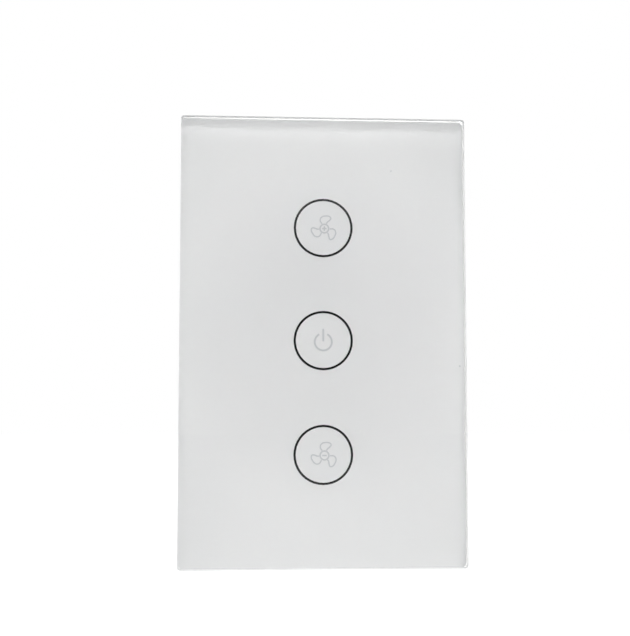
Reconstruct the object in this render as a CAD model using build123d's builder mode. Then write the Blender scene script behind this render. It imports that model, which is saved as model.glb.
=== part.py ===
"""Smart fan switch: a snap-on glass touch panel on a one-gang mounting yoke with a rear electronics module.

+X is right and +Z is up as the switch hangs on the wall. The front faces -Y, and Y = 0 is the wall plane.
All sizes are in millimetres.
"""

import os
from math import ceil, cos, pi, sin

from build123d import *

os.makedirs("parts", exist_ok=True)

# Glass panel and its print
panel_width = 75.0
panel_height = 118.0
panel_corner = 0.8
glass_thickness = 4.0
glass_bevel = 0.5
glass_arris = 0.25
print_thickness = 0.2
print_inset = 0.25
ink_depth = 0.1
key_pitch = 29.8
ring_diameter = 15.6
ring_line = 0.6
ring_sides = 40

# Panel frame
frame_inset = 0.8
frame_depth = 7.6
frame_wall = 1.6
frame_plate = 1.5
frame_corner = 1.6
wall_gap = 0.4
tape_thickness = 0.3
tape_margin = 1.2
window_size = 11.2
shroud_wall = 1.2
shroud_gap = 0.4
frame_rib_width = 1.2
frame_rib_height = 1.4
pad_width = 4.0
pad_length = 8.0
pad_edge = 5.0
pad_height_on_yoke = 20.0
notch_width = 12.0
notch_depth = 1.8

# Snap fingers
finger_width = 8.0
finger_thickness = 1.4
finger_nose = 0.5
finger_nose_length = 1.6
finger_side = 9.0
finger_end = 5.6
finger_tip_gap = 0.3
finger_clearance = 0.3

# Mounting yoke
yoke_thickness = 3.0
yoke_clearance = 0.4
yoke_corner = 1.2
yoke_rim = 2.4
seat_recess = 0.5
screw_spacing = 83.3
slot_radius = 2.1
slot_length = 7.0
clip_length = 6.0
clip_overlap = 0.8
clip_root = 2.0
clip_height = 0.9
clip_level = 12.0
clamp_post_size = 2.6
tongue_clearance = 0.2

# Touch board and what it carries
touch_board_width = 49.0
touch_board_overhang = 5.2
touch_board_thickness = 1.2
touch_board_clearance = 0.2
spring_radius = 3.0
spring_wire = 0.6
spring_turns = 3.0
coil_sides = 8
spring_gap = 0.1
stem_clearance = 0.1
led_length = 2.0
led_width = 1.3
led_base = 0.4
led_lens_width = 0.9
led_lens_height = 0.4
radio_length = 18.0
radio_width = 12.0
radio_thickness = 0.8
shield_length = 11.0
shield_height = 1.9
shield_edge = 1.0
chip_length = 9.9
chip_width = 3.9
chip_height = 1.5
chip_edge = 0.25

# Board-to-board header
header_count = 4
header_rows = 2
header_pitch = 2.54
header_base = 2.0
header_pin = 0.64
header_pin_reach = 2.8
header_gap = 0.3
header_clearance = 0.4
socket_pin_clearance = 0.1

# Power board
board_gap = 4.3
power_board_thickness = 1.6
board_edge = 1.4
board_clearance = 0.3
part_gap = 1.0
stack_gap = 1.6
lead_size = 0.7
lead_stub = 1.2
lead_clearance = 0.15

# Speed relays and fan run capacitors
relay_names = ("low", "medium", "high")
relay_width = 7.2
relay_length = 20.4
relay_height = 15.3
relay_edge = 0.6
relay_foot = 0.5
film_names = ("a", "b")
film_length = 18.0
film_thickness = 8.5
film_height = 14.5
film_edge = 0.8
film_lead_pitch = 15.0

# Supply parts
core_width = 13.0
core_height = 10.0
core_depth = 5.0
core_leg = 2.2
core_centre = 4.0
coil_depth = 10.6
coil_clearance = 0.15
coil_base = 1.8
coil_edge = 0.8
coil_pin_pitch = 3.8
bulk_diameter = 7.5
bulk_height = 13.0
output_diameter = 5.0
output_height = 9.0
can_lead_pitch = 2.5
fuse_diameter = 8.0
fuse_height = 7.6
fuse_lead_pitch = 5.0
varistor_diameter = 9.0
varistor_thickness = 4.2
varistor_lift = 0.8
varistor_lead_pitch = 5.0
bridge_length = 8.0
bridge_width = 6.4
bridge_height = 3.2
bridge_edge = 0.5
bridge_lead_pitch = 5.0

# Terminal poles
pole_names = ("line", "neutral", "fan")
pole_pitch = 9.6
pole_gap = 0.1
pole_recess = 0.2
pole_proud = 0.4
pole_clearance = 0.25
entry_wall = 2.0
rear_wall = 1.2
wire_radius = 2.0
cage_width = 7.1
cage_length = 6.0
cage_side = 0.7
cage_floor = 0.8
cage_top = 1.2
cage_lift = 0.5
cage_clearance = 0.3
wire_space = 3.6
cage_travel = 2.8
bar_width = 5.2
bar_thickness = 1.0
bar_gap = 0.3
leg_gap = 1.5
lip_gap = 0.2
lip_thickness = 1.4
clamp_screw_radius = 1.7
clamp_head_radius = 2.6
clamp_head_height = 1.8
clamp_head_recess = 0.2
thread_clearance = 0.05
turning_clearance = 0.3

# Rear housing
housing_wall = 1.8
housing_corner = 2.2
housing_edge = 0.8
housing_headroom = 0.8
step_gap = 0.6
part_wall_gap = 0.4
column_size = 6.4
column_inset = 2.8
support_rib_depth = 1.3
support_rib_width = 3.0
vent_count = 6
vent_width = 1.6
vent_length = 15.0
vent_pitch = 4.2
side_vent_count = 4
side_vent_length = 8.0

# Housing screws
boss_radius = 2.0
boss_length = 5.4
boss_clearance = 0.2
pilot_depth = 5.0
case_screw_radius = 1.1
case_screw_length = 8.0
case_screw_seat = 8.5
case_head_radius = 2.1
case_head_height = 1.6
case_head_clearance = 0.3
case_shank_clearance = 0.2
case_thread_clearance = 0.05

# Depths along Y, from the glass to the rear of the housing
yoke_front = -yoke_thickness
seat = -seat_recess
pocket_floor = yoke_front + touch_board_thickness
frame_front = -frame_depth
plate_rear = frame_front + frame_plate
frame_rear = -wall_gap
print_rear = frame_front - tape_thickness
glass_rear = print_rear - print_thickness
glass_front = glass_rear - glass_thickness
board_front = seat + board_gap
board_rear = board_front + power_board_thickness

# Outlines that follow the panel
frame_width = panel_width - 2 * frame_inset
frame_height = panel_height - 2 * frame_inset
tray_width = frame_width - 2 * frame_wall
tray_height = frame_height - 2 * frame_wall
yoke_width = tray_width - 2 * yoke_clearance
yoke_height = tray_height - 2 * yoke_clearance
touch_board_height = 2 * (key_pitch + touch_board_overhang)
pocket_width = touch_board_width + 2 * touch_board_clearance
pocket_height = touch_board_height + 2 * touch_board_clearance
key_levels = [key_pitch, 0.0, -key_pitch]
key_names = ("faster", "power", "slower")

# Terminal pole stack, from the power board to the top of the pole
cage_rest = board_rear + cage_lift
wire_level = cage_rest + cage_floor + wire_space / 2
bar_front = cage_rest + cage_floor + wire_space
bar_rear = bar_front + bar_thickness
cage_top_front = bar_rear + bar_gap
cage_rear = cage_top_front + cage_top
lip_front = cage_rear + cage_travel + lip_gap
lip_rear = lip_front + lip_thickness
pole_rear = lip_rear + clamp_head_height + clamp_head_recess
pole_width = pole_pitch - pole_gap
pole_depth = entry_wall + cage_clearance + cage_length + leg_gap + bar_thickness + rear_wall

# Power board layout: relays and film capacitors on the left, supply parts on the right
relay_count = len(relay_names)
left_width = relay_count * relay_width + (relay_count - 1) * part_gap
board_width = 2 * board_edge + max(left_width, film_length) + stack_gap + core_width
left_stack = relay_length + len(film_names) * (film_thickness + part_gap)
right_stack = (
    coil_depth
    + max(bulk_diameter, output_diameter)
    + fuse_diameter
    + varistor_thickness
    + bridge_width
    + 4 * part_gap
)
column_reach = column_size / 2 + column_inset
step_length = pole_recess + pole_depth + step_gap
stack_start = step_length + housing_wall + part_wall_gap
inner_width = board_width + 2 * board_clearance
housing_width = inner_width + 2 * housing_wall
housing_height = stack_start + max(left_stack, right_stack) + part_wall_gap + column_reach + housing_wall
inner_height = housing_height - 2 * housing_wall
board_height = inner_height - 2 * board_clearance
housing_bottom = -housing_height / 2
stack_bottom = housing_bottom + stack_start
stack_top = stack_bottom + max(left_stack, right_stack)
left_edge = -board_width / 2 + board_edge
right_edge = board_width / 2 - board_edge
right_middle = right_edge - core_width / 2
tallest_part = max(relay_height, film_height, coil_base + core_height, bulk_height, output_height)
floor_level = board_rear + tallest_part + housing_headroom
housing_rear = floor_level + housing_wall
step_rear = pole_rear - pole_proud
step_floor = step_rear - housing_wall
column_x = inner_width / 2 - column_inset
column_z = inner_height / 2 - column_inset
header_level = column_z
header_length = header_count * header_pitch
header_depth = header_rows * header_pitch
pole_face = housing_bottom + pole_recess
cage_bottom = pole_face + entry_wall + cage_clearance
cage_middle = cage_bottom + cage_length / 2
leg_bottom = cage_bottom + cage_length + leg_gap
poles_half = len(pole_names) * pole_pitch / 2

# Two screw columns on a diagonal
column_sides = [(-1, 1), (1, -1)]
columns = [(x * column_x, z * column_z) for x, z in column_sides]


def facing(depth):
    """Sketch plane across the switch at a depth along Y: local x is +X, local y is +Z, facing the front."""
    return Plane.XZ.offset(-depth)


def write(piece, name):
    """Label one finished piece and write its STEP file."""
    piece.part.label = name
    export_step(piece.part, f"parts/{name}.step")


# Printed ring round each key

with BuildSketch(facing(glass_rear)) as ring_art:
    with GridLocations(0, key_pitch, 1, len(key_levels)):
        RegularPolygon(ring_diameter / 2, ring_sides)
        RegularPolygon(ring_diameter / 2 - ring_line, ring_sides, mode=Mode.SUBTRACT)

# Glass panel: clear plate with a polished front bevel

with BuildPart() as glass_panel:
    with BuildSketch(facing(glass_front)):
        RectangleRounded(panel_width, panel_height, panel_corner)
    extrude(amount=-glass_thickness)
    chamfer(glass_panel.faces().sort_by(Axis.Y)[0].edges(), glass_bevel)
    chamfer(glass_panel.faces().sort_by(Axis.Y)[-1].edges(), glass_arris)
write(glass_panel, "glass_panel")

# Black ring ink lies on the glass, and the white print covers it from behind

with BuildPart() as ring_print:
    extrude(ring_art.sketch, amount=-ink_depth)
write(ring_print, "ring_print")

with BuildPart() as white_print:
    with BuildSketch(facing(glass_rear)):
        RectangleRounded(panel_width - 2 * print_inset, panel_height - 2 * print_inset, panel_corner)
    extrude(amount=-print_thickness)
    extrude(ring_art.sketch, amount=-ink_depth, mode=Mode.SUBTRACT)
write(white_print, "white_print")

# Bond tape: die-cut sheet with a window behind each key

with BuildPart() as bond_tape:
    with BuildSketch(facing(print_rear)):
        Rectangle(frame_width - 2 * tape_margin, frame_height - 2 * tape_margin)
        with GridLocations(0, key_pitch, 1, len(key_levels)):
            Rectangle(window_size, window_size, mode=Mode.SUBTRACT)
    extrude(amount=-tape_thickness)
write(bond_tape, "bond_tape")

# Panel frame: shallow moulded tray with light shrouds, stop pads, snap fingers and a pry notch

finger_x = yoke_width / 2 - finger_side
finger_outer = yoke_height / 2 - finger_end
finger_inner = finger_outer - finger_thickness
finger_tip = seat - finger_tip_gap
nose_start = finger_tip - finger_nose_length
shroud_size = window_size + 2 * shroud_wall
shroud_end = yoke_front - shroud_gap

with BuildPart() as panel_frame:
    with BuildSketch(facing(frame_front)):
        RectangleRounded(frame_width, frame_height, frame_corner)
    extrude(amount=-(frame_rear - frame_front))
    with BuildSketch(facing(plate_rear)):
        Rectangle(tray_width, tray_height)
    extrude(amount=-(frame_rear - plate_rear), mode=Mode.SUBTRACT)
    with BuildSketch(facing(plate_rear)):
        with GridLocations(0, key_pitch, 1, len(key_levels)):
            Rectangle(tray_width, frame_rib_width)
    extrude(amount=-frame_rib_height)
    with BuildSketch(facing(plate_rear)):
        with GridLocations(0, key_pitch, 1, len(key_levels)):
            Rectangle(shroud_size, shroud_size)
    extrude(amount=-(shroud_end - plate_rear))
    with BuildSketch(facing(frame_front)):
        with GridLocations(0, key_pitch, 1, len(key_levels)):
            Rectangle(window_size, window_size)
    extrude(amount=-(shroud_end - frame_front), mode=Mode.SUBTRACT)
    with BuildSketch(facing(plate_rear)):
        with GridLocations(yoke_width - 2 * pad_edge, 2 * pad_height_on_yoke, 2, 2):
            Rectangle(pad_width, pad_length)
    extrude(amount=-(yoke_front - plate_rear))
    with BuildSketch(Plane.YZ.offset(finger_x)):
        with BuildLine():
            Polyline(
                (plate_rear, finger_inner),
                (plate_rear, finger_outer),
                (nose_start, finger_outer),
                (nose_start + finger_nose, finger_outer + finger_nose),
                (finger_tip, finger_outer),
                (finger_tip, finger_inner),
                close=True,
            )
        make_face()
    finger = extrude(amount=finger_width / 2, both=True)
    other_fingers = mirror(finger, about=Plane.XY)
    mirror(finger, about=Plane.YZ)
    mirror(other_fingers, about=Plane.YZ)
    with BuildSketch(facing(frame_rear)):
        with Locations((0, -frame_height / 2 + frame_wall / 2)):
            Rectangle(notch_width, 2 * frame_wall)
    extrude(amount=notch_depth, mode=Mode.SUBTRACT)
write(panel_frame, "panel_frame")

# Mounting yoke: plate with a board pocket, two screw slots, finger slots and a rim that bears on the wall

slot_height = finger_thickness + finger_nose + 2 * finger_clearance
slot_z = (finger_inner + finger_outer + finger_nose) / 2
clip_x = touch_board_width / 2 - clip_overlap + (clip_overlap + clip_root) / 2
tongue_rear = board_rear - tongue_clearance

with BuildPart() as mounting_yoke:
    with BuildSketch(facing(yoke_front)):
        RectangleRounded(yoke_width, yoke_height, yoke_corner)
    extrude(amount=-yoke_thickness)
    with BuildSketch(facing(seat)):
        Rectangle(yoke_width - 2 * yoke_rim, yoke_height - 2 * yoke_rim)
    extrude(amount=-seat_recess, mode=Mode.SUBTRACT)
    with BuildSketch(facing(yoke_front)):
        Rectangle(pocket_width, pocket_height)
    extrude(amount=-touch_board_thickness, mode=Mode.SUBTRACT)
    with BuildSketch(facing(yoke_front)):
        with GridLocations(0, screw_spacing, 1, 2):
            SlotOverall(slot_length, 2 * slot_radius, rotation=90)
        with GridLocations(2 * finger_x, 2 * slot_z, 2, 2):
            Rectangle(finger_width + 2 * finger_clearance, slot_height)
        with Locations((0, header_level)):
            Rectangle(header_length + 2 * header_clearance, header_depth + 2 * header_clearance)
    extrude(amount=-yoke_thickness, mode=Mode.SUBTRACT)
    with BuildSketch(facing(yoke_front)):
        with GridLocations(2 * clip_x, 2 * clip_level, 2, 2):
            Rectangle(clip_overlap + clip_root, clip_length)
    extrude(amount=clip_height)
    with BuildSketch(facing(seat)):
        with Locations(*columns):
            Circle(boss_radius)
    extrude(amount=-boss_length)
    with BuildSketch(facing(seat + boss_length)):
        with Locations(*columns):
            Circle(case_screw_radius + case_thread_clearance)
    extrude(amount=pilot_depth, mode=Mode.SUBTRACT)
    with BuildSketch(facing(seat)):
        with GridLocations(2 * header_length, 0, 2, 1):
            with Locations((0, header_level)):
                Rectangle(clamp_post_size, clamp_post_size)
        with GridLocations(pole_pitch, 0, 2, 1):
            with Locations((0, leg_bottom - leg_gap)):
                Rectangle(clamp_post_size, clamp_post_size)
    extrude(amount=-(board_front - seat))
    with BuildSketch(facing(seat)):
        with Locations((0, housing_bottom + housing_wall / 2)):
            Rectangle(2 * poles_half, housing_wall - 2 * tongue_clearance)
    extrude(amount=-(tongue_rear - seat))
write(mounting_yoke, "mounting_yoke")

# Rear housing: stepped shell with two screw columns, board ribs, vents and a notch for the terminal poles

notch_half = poles_half + pole_clearance
vent_level = (stack_bottom + stack_top) / 2
hole_end = housing_rear + housing_wall
column_front = seat + boss_length + boss_clearance
column_holes = (
    (case_screw_radius + case_shank_clearance, column_front, case_screw_seat),
    (case_head_radius + case_head_clearance, case_screw_seat, hole_end),
)

with BuildPart() as rear_housing:
    with BuildSketch(facing(seat)):
        RectangleRounded(housing_width, housing_height, housing_corner)
    extrude(amount=-(housing_rear - seat))
    with BuildSketch(facing(step_rear)):
        with Locations((0, housing_bottom + step_length / 2)):
            Rectangle(housing_width, step_length)
    extrude(amount=-(housing_rear - step_rear), mode=Mode.SUBTRACT)
    chamfer(rear_housing.faces().sort_by(Axis.Y)[-1].edges(), housing_edge)
    with BuildSketch(facing(seat)):
        Rectangle(inner_width, inner_height)
    extrude(amount=-(step_floor - seat), mode=Mode.SUBTRACT)
    with BuildSketch(facing(seat)):
        with Locations((0, (housing_bottom + step_length + housing_wall + inner_height / 2) / 2)):
            Rectangle(inner_width, inner_height / 2 - housing_bottom - step_length - housing_wall)
    extrude(amount=-(floor_level - seat), mode=Mode.SUBTRACT)
    for column, column_end in zip(columns, (floor_level, step_floor)):
        with BuildSketch(facing(column_front)):
            with Locations(column):
                Rectangle(column_size, column_size)
        extrude(amount=-(column_end - column_front))
    with BuildSketch(facing(floor_level)):
        with GridLocations(inner_width - support_rib_depth, stack_top - stack_bottom - relay_width, 2, 2):
            with Locations((0, vent_level)):
                Rectangle(support_rib_depth, support_rib_width)
    extrude(amount=floor_level - board_rear)
    for hole_radius, hole_front, hole_rear in column_holes:
        with BuildSketch(facing(hole_front)):
            with Locations(*columns):
                Circle(hole_radius)
        extrude(amount=-(hole_rear - hole_front), mode=Mode.SUBTRACT)
    with BuildSketch(facing(seat)):
        with Locations((0, housing_bottom + step_length / 2 - step_gap)):
            Rectangle(2 * notch_half, step_length)
    extrude(amount=-(step_rear - seat), mode=Mode.SUBTRACT)
    with BuildSketch(facing(floor_level)):
        with Locations((0, vent_level)):
            with GridLocations(vent_pitch, 0, vent_count, 1):
                Rectangle(vent_width, vent_length)
    extrude(amount=-housing_wall, mode=Mode.SUBTRACT)
    with BuildSketch(Plane.YZ.offset(-housing_width / 2)):
        with Locations(((board_rear + floor_level) / 2, vent_level)):
            with GridLocations(0, vent_pitch, 1, side_vent_count):
                Rectangle(side_vent_length, vent_width)
    extrude(amount=housing_width, mode=Mode.SUBTRACT)
write(rear_housing, "rear_housing")

# Housing screws: two self-tapping screws with cylinder heads

with BuildPart() as housing_screws:
    with BuildSketch(facing(case_screw_seat)):
        with Locations(*columns):
            Circle(case_head_radius)
    extrude(amount=-case_head_height)
    with BuildSketch(facing(case_screw_seat)):
        with Locations(*columns):
            Circle(case_screw_radius)
    extrude(amount=case_screw_length)
write(housing_screws, "housing_screws")

# Touch springs: open coils from the board to the print behind each key, each on a stem through the board

spring_axis_radius = spring_radius - spring_wire / 2
spring_base = yoke_front - spring_wire / 2 - spring_gap
spring_height = spring_base - (print_rear + spring_gap + spring_wire / 2)
coil_steps = ceil(spring_turns * coil_sides)
stem_places = [(spring_axis_radius, level) for level in key_levels]


def coil_section(step, level):
    """Plane across the wire after a number of steps round the coil, the first straight above the stem."""
    turn = 2 * pi * spring_turns * step / coil_steps
    outward = Vector(cos(turn), 0, sin(turn))
    rise = Vector(0, spring_base - spring_height * step / coil_steps, level)
    return Plane(outward * spring_axis_radius + rise, x_dir=outward, z_dir=outward.cross(Vector(0, 1, 0)))


for key_name, level in zip(key_names, key_levels):
    with BuildPart() as touch_spring:
        for step in range(coil_steps + 1):
            with BuildSketch(coil_section(step, level)):
                Rectangle(spring_wire, spring_wire)
        loft(ruled=True)
        with BuildSketch(facing(spring_base)):
            with Locations((spring_axis_radius, level)):
                Rectangle(spring_wire, spring_wire)
        extrude(amount=-(pocket_floor - spring_base))
    write(touch_spring, f"touch_spring_{key_name}")

# Touch board: sits in the yoke's pocket, drilled for the stem of each touch spring

stem_hole = spring_wire + 2 * stem_clearance

with BuildPart() as touch_board:
    with BuildSketch(facing(yoke_front)):
        Rectangle(touch_board_width, touch_board_height)
        with Locations(*stem_places):
            Rectangle(stem_hole, stem_hole, mode=Mode.SUBTRACT)
    extrude(amount=-touch_board_thickness)
write(touch_board, "touch_board")

# Indicator LEDs: one surface-mount lamp inside each coil

for key_name, level in zip(key_names, key_levels):
    with BuildPart() as indicator_led:
        with BuildSketch(facing(yoke_front)):
            with Locations((0, level)):
                Rectangle(led_length, led_width)
        extrude(amount=led_base)
        with BuildSketch(facing(yoke_front - led_base)):
            with Locations((0, level)):
                Rectangle(led_lens_width, led_lens_width)
        extrude(amount=led_lens_height)
    write(indicator_led, f"indicator_led_{key_name}")

# Radio module with its shield can, and the touch controller, between the keys

radio_level = key_pitch / 2
shield_rear = yoke_front - radio_thickness

with BuildPart() as radio_module:
    with BuildSketch(facing(yoke_front)):
        with Locations((0, radio_level)):
            Rectangle(radio_length, radio_width)
    extrude(amount=radio_thickness)
write(radio_module, "radio_module")

with BuildPart() as radio_shield:
    with BuildSketch(facing(shield_rear)):
        with Locations((-radio_length / 2 + shield_edge + shield_length / 2, radio_level)):
            Rectangle(shield_length, radio_width - 2 * shield_edge)
    extrude(amount=shield_height)
    chamfer(radio_shield.faces().sort_by(Axis.Y)[0].edges(), shield_edge / 4)
write(radio_shield, "radio_shield")

with BuildPart() as touch_controller:
    with BuildSketch(facing(yoke_front)):
        with Locations((0, -radio_level)):
            Rectangle(chip_length, chip_width)
    extrude(amount=chip_height)
    chamfer(touch_controller.faces().sort_by(Axis.Y)[0].edges(), chip_edge)
write(touch_controller, "touch_controller")

# Pin header under the touch board and its socket on the power board

with BuildPart() as pin_header:
    with BuildSketch(facing(pocket_floor)):
        with Locations((0, header_level)):
            Rectangle(header_length, header_depth)
    extrude(amount=-header_base)
    with BuildSketch(facing(pocket_floor + header_base)):
        with Locations((0, header_level)):
            with GridLocations(header_pitch, header_pitch, header_count, header_rows):
                Rectangle(header_pin, header_pin)
    extrude(amount=-header_pin_reach)
write(pin_header, "pin_header")

socket_front = pocket_floor + header_base + header_gap

with BuildPart() as header_socket:
    with BuildSketch(facing(socket_front)):
        with Locations((0, header_level)):
            Rectangle(header_length, header_depth)
    extrude(amount=-(board_front - socket_front))
    with BuildSketch(facing(socket_front)):
        with Locations((0, header_level)):
            with GridLocations(header_pitch, header_pitch, header_count, header_rows):
                Rectangle(header_pin + 2 * socket_pin_clearance, header_pin + 2 * socket_pin_clearance)
    extrude(amount=-header_pin_reach, mode=Mode.SUBTRACT)
write(header_socket, "header_socket")

# Parts on the power board: each has square leads through the board, whose places the board's holes follow

lead_places = []


def lead_pair(x, z, pitch, along_x=True):
    """Two lead places about a part's middle, noted for the board's holes."""
    step = (pitch / 2, 0) if along_x else (0, pitch / 2)
    pair = [(x - step[0], z - step[1]), (x + step[0], z + step[1])]
    lead_places.extend(pair)
    return pair


def lead_art(places):
    """Square lead sections on the rear face of the power board."""
    with BuildSketch(facing(board_rear)) as art:
        with Locations(*places):
            Rectangle(lead_size, lead_size)
    return art.sketch


lead_reach = power_board_thickness + lead_stub

for index, relay_name in enumerate(relay_names):
    relay_x = left_edge + relay_width / 2 + index * (relay_width + part_gap)
    relay_z = stack_bottom + relay_length / 2
    relay_leads = lead_pair(relay_x, relay_z, relay_length - relay_width, along_x=False)
    with BuildPart() as speed_relay:
        with BuildSketch(facing(board_rear)):
            with Locations((relay_x, relay_z)):
                Rectangle(relay_width, relay_length)
        extrude(amount=-relay_height)
        chamfer(speed_relay.edges().filter_by(Axis.Y), relay_edge)
        chamfer(speed_relay.faces().sort_by(Axis.Y)[-1].edges(), relay_edge / 2)
        with BuildSketch(facing(board_rear)):
            with Locations((relay_x, relay_z)):
                Rectangle(relay_width, relay_length - 4 * relay_edge)
        extrude(amount=-relay_foot, mode=Mode.SUBTRACT)
        extrude(lead_art(relay_leads), amount=lead_reach)
        extrude(lead_art(relay_leads), amount=-relay_foot)
    write(speed_relay, f"speed_relay_{relay_name}")

for index, film_name in enumerate(film_names):
    film_x = left_edge + film_length / 2
    film_z = stack_bottom + relay_length + part_gap + film_thickness / 2 + index * (film_thickness + part_gap)
    film_leads = lead_pair(film_x, film_z, film_lead_pitch)
    with BuildPart() as run_capacitor:
        with BuildSketch(facing(board_rear)):
            with Locations((film_x, film_z)):
                Rectangle(film_length, film_thickness)
        extrude(amount=-film_height)
        chamfer(run_capacitor.edges().filter_by(Axis.Y), film_edge)
        chamfer(run_capacitor.faces().sort_by(Axis.Y)[-1].edges(), film_edge / 2)
        extrude(lead_art(film_leads), amount=lead_reach)
    write(run_capacitor, f"run_capacitor_{film_name}")

# Supply transformer: a ferrite core pair round a wound bobbin that stands on a pinned base

coil_z = stack_top - coil_depth / 2
core_front = board_rear + coil_base
window_height = core_height - 2 * core_leg
window_width = (core_width - core_centre) / 2 - core_leg
coil_front = core_front + core_leg + coil_clearance
coil_height = window_height - 2 * coil_clearance
coil_width = core_centre + 2 * window_width - 2 * coil_clearance
cheek = (coil_depth - core_depth) / 2 - coil_clearance
coil_leads = [
    place
    for side in (-1, 1)
    for place in lead_pair(right_middle, coil_z + side * (coil_depth - cheek) / 2, 2 * coil_pin_pitch)
]

with BuildPart() as transformer_core:
    with BuildSketch(Plane.XZ.rotated((-90, 0, 0)).offset(coil_z - core_depth / 2)):
        with Locations((right_middle, core_front + core_height / 2)):
            Rectangle(core_width, core_height)
            with GridLocations(core_centre + window_width, 0, 2, 1):
                Rectangle(window_width, window_height, mode=Mode.SUBTRACT)
    extrude(amount=core_depth)
write(transformer_core, "transformer_core")

with BuildPart() as transformer_coil:
    with BuildSketch(facing(coil_front)):
        with Locations((right_middle, coil_z)):
            Rectangle(coil_width, coil_depth)
            Rectangle(core_centre + 2 * coil_clearance, core_depth + 2 * coil_clearance, mode=Mode.SUBTRACT)
    extrude(amount=-coil_height)
    with BuildSketch(facing(board_rear)):
        with Locations((right_middle, coil_z)):
            Rectangle(core_width, coil_depth)
    extrude(amount=-coil_base)
    with BuildSketch(facing(core_front)):
        with Locations((right_middle, coil_z)):
            with GridLocations(0, coil_depth - cheek, 1, 2):
                Rectangle(coil_width - 2 * coil_edge, cheek)
    extrude(amount=-(coil_front - core_front))
    extrude(lead_art(coil_leads), amount=lead_reach)
write(transformer_coil, "transformer_coil")

# Electrolytic capacitors: a tall bulk can and a small output can

can_z = coil_z - coil_depth / 2 - part_gap - max(bulk_diameter, output_diameter) / 2
cans = (
    ("bulk_capacitor", right_edge - bulk_diameter / 2, bulk_diameter, bulk_height),
    ("output_capacitor", right_edge - core_width + output_diameter / 2, output_diameter, output_height),
)

for can_name, can_x, diameter, height in cans:
    can_leads = lead_pair(can_x, can_z, can_lead_pitch)
    with BuildPart() as can_capacitor:
        with BuildSketch(facing(board_rear)):
            with Locations((can_x, can_z)):
                Circle(diameter / 2)
        extrude(amount=-height)
        extrude(lead_art(can_leads), amount=lead_reach)
    write(can_capacitor, can_name)

fuse_z = can_z - max(bulk_diameter, output_diameter) / 2 - part_gap - fuse_diameter / 2
fuse_leads = lead_pair(right_middle, fuse_z, fuse_lead_pitch)

with BuildPart() as mains_fuse:
    with BuildSketch(facing(board_rear)):
        with Locations((right_middle, fuse_z)):
            Circle(fuse_diameter / 2)
    extrude(amount=-fuse_height)
    extrude(lead_art(fuse_leads), amount=lead_reach)
write(mains_fuse, "mains_fuse")

varistor_z = fuse_z - fuse_diameter / 2 - part_gap - varistor_thickness / 2
varistor_middle = board_rear + varistor_lift + varistor_diameter / 2
varistor_leads = lead_pair(right_middle, varistor_z, varistor_lead_pitch)

with BuildPart() as surge_varistor:
    with BuildSketch(Plane.XY.offset(varistor_z - varistor_thickness / 2)):
        with Locations((right_middle, varistor_middle)):
            Circle(varistor_diameter / 2)
    extrude(amount=varistor_thickness)
    extrude(lead_art(varistor_leads), amount=lead_reach)
    extrude(lead_art(varistor_leads), amount=-(varistor_lift + varistor_diameter / 2))
write(surge_varistor, "surge_varistor")

bridge_z = varistor_z - varistor_thickness / 2 - part_gap - bridge_width / 2
bridge_leads = [
    place
    for side in (-1, 1)
    for place in lead_pair(right_middle, bridge_z + side * bridge_lead_pitch / 2, bridge_lead_pitch)
]

with BuildPart() as bridge_rectifier:
    with BuildSketch(facing(board_rear)):
        with Locations((right_middle, bridge_z)):
            Rectangle(bridge_length, bridge_width)
    extrude(amount=-bridge_height)
    chamfer(bridge_rectifier.faces().sort_by(Axis.Y)[-1].edges(), bridge_edge)
    extrude(lead_art(bridge_leads), amount=lead_reach)
write(bridge_rectifier, "bridge_rectifier")

# Terminal poles: moulded body, contact bar, rising cage and clamp screw for each wire

cavity_width = cage_width + 2 * cage_clearance
cage_opening = cage_top_front - cage_rest - cage_floor
pole_places = [(index - (len(pole_names) - 1) / 2) * pole_pitch for index in range(len(pole_names))]

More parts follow.
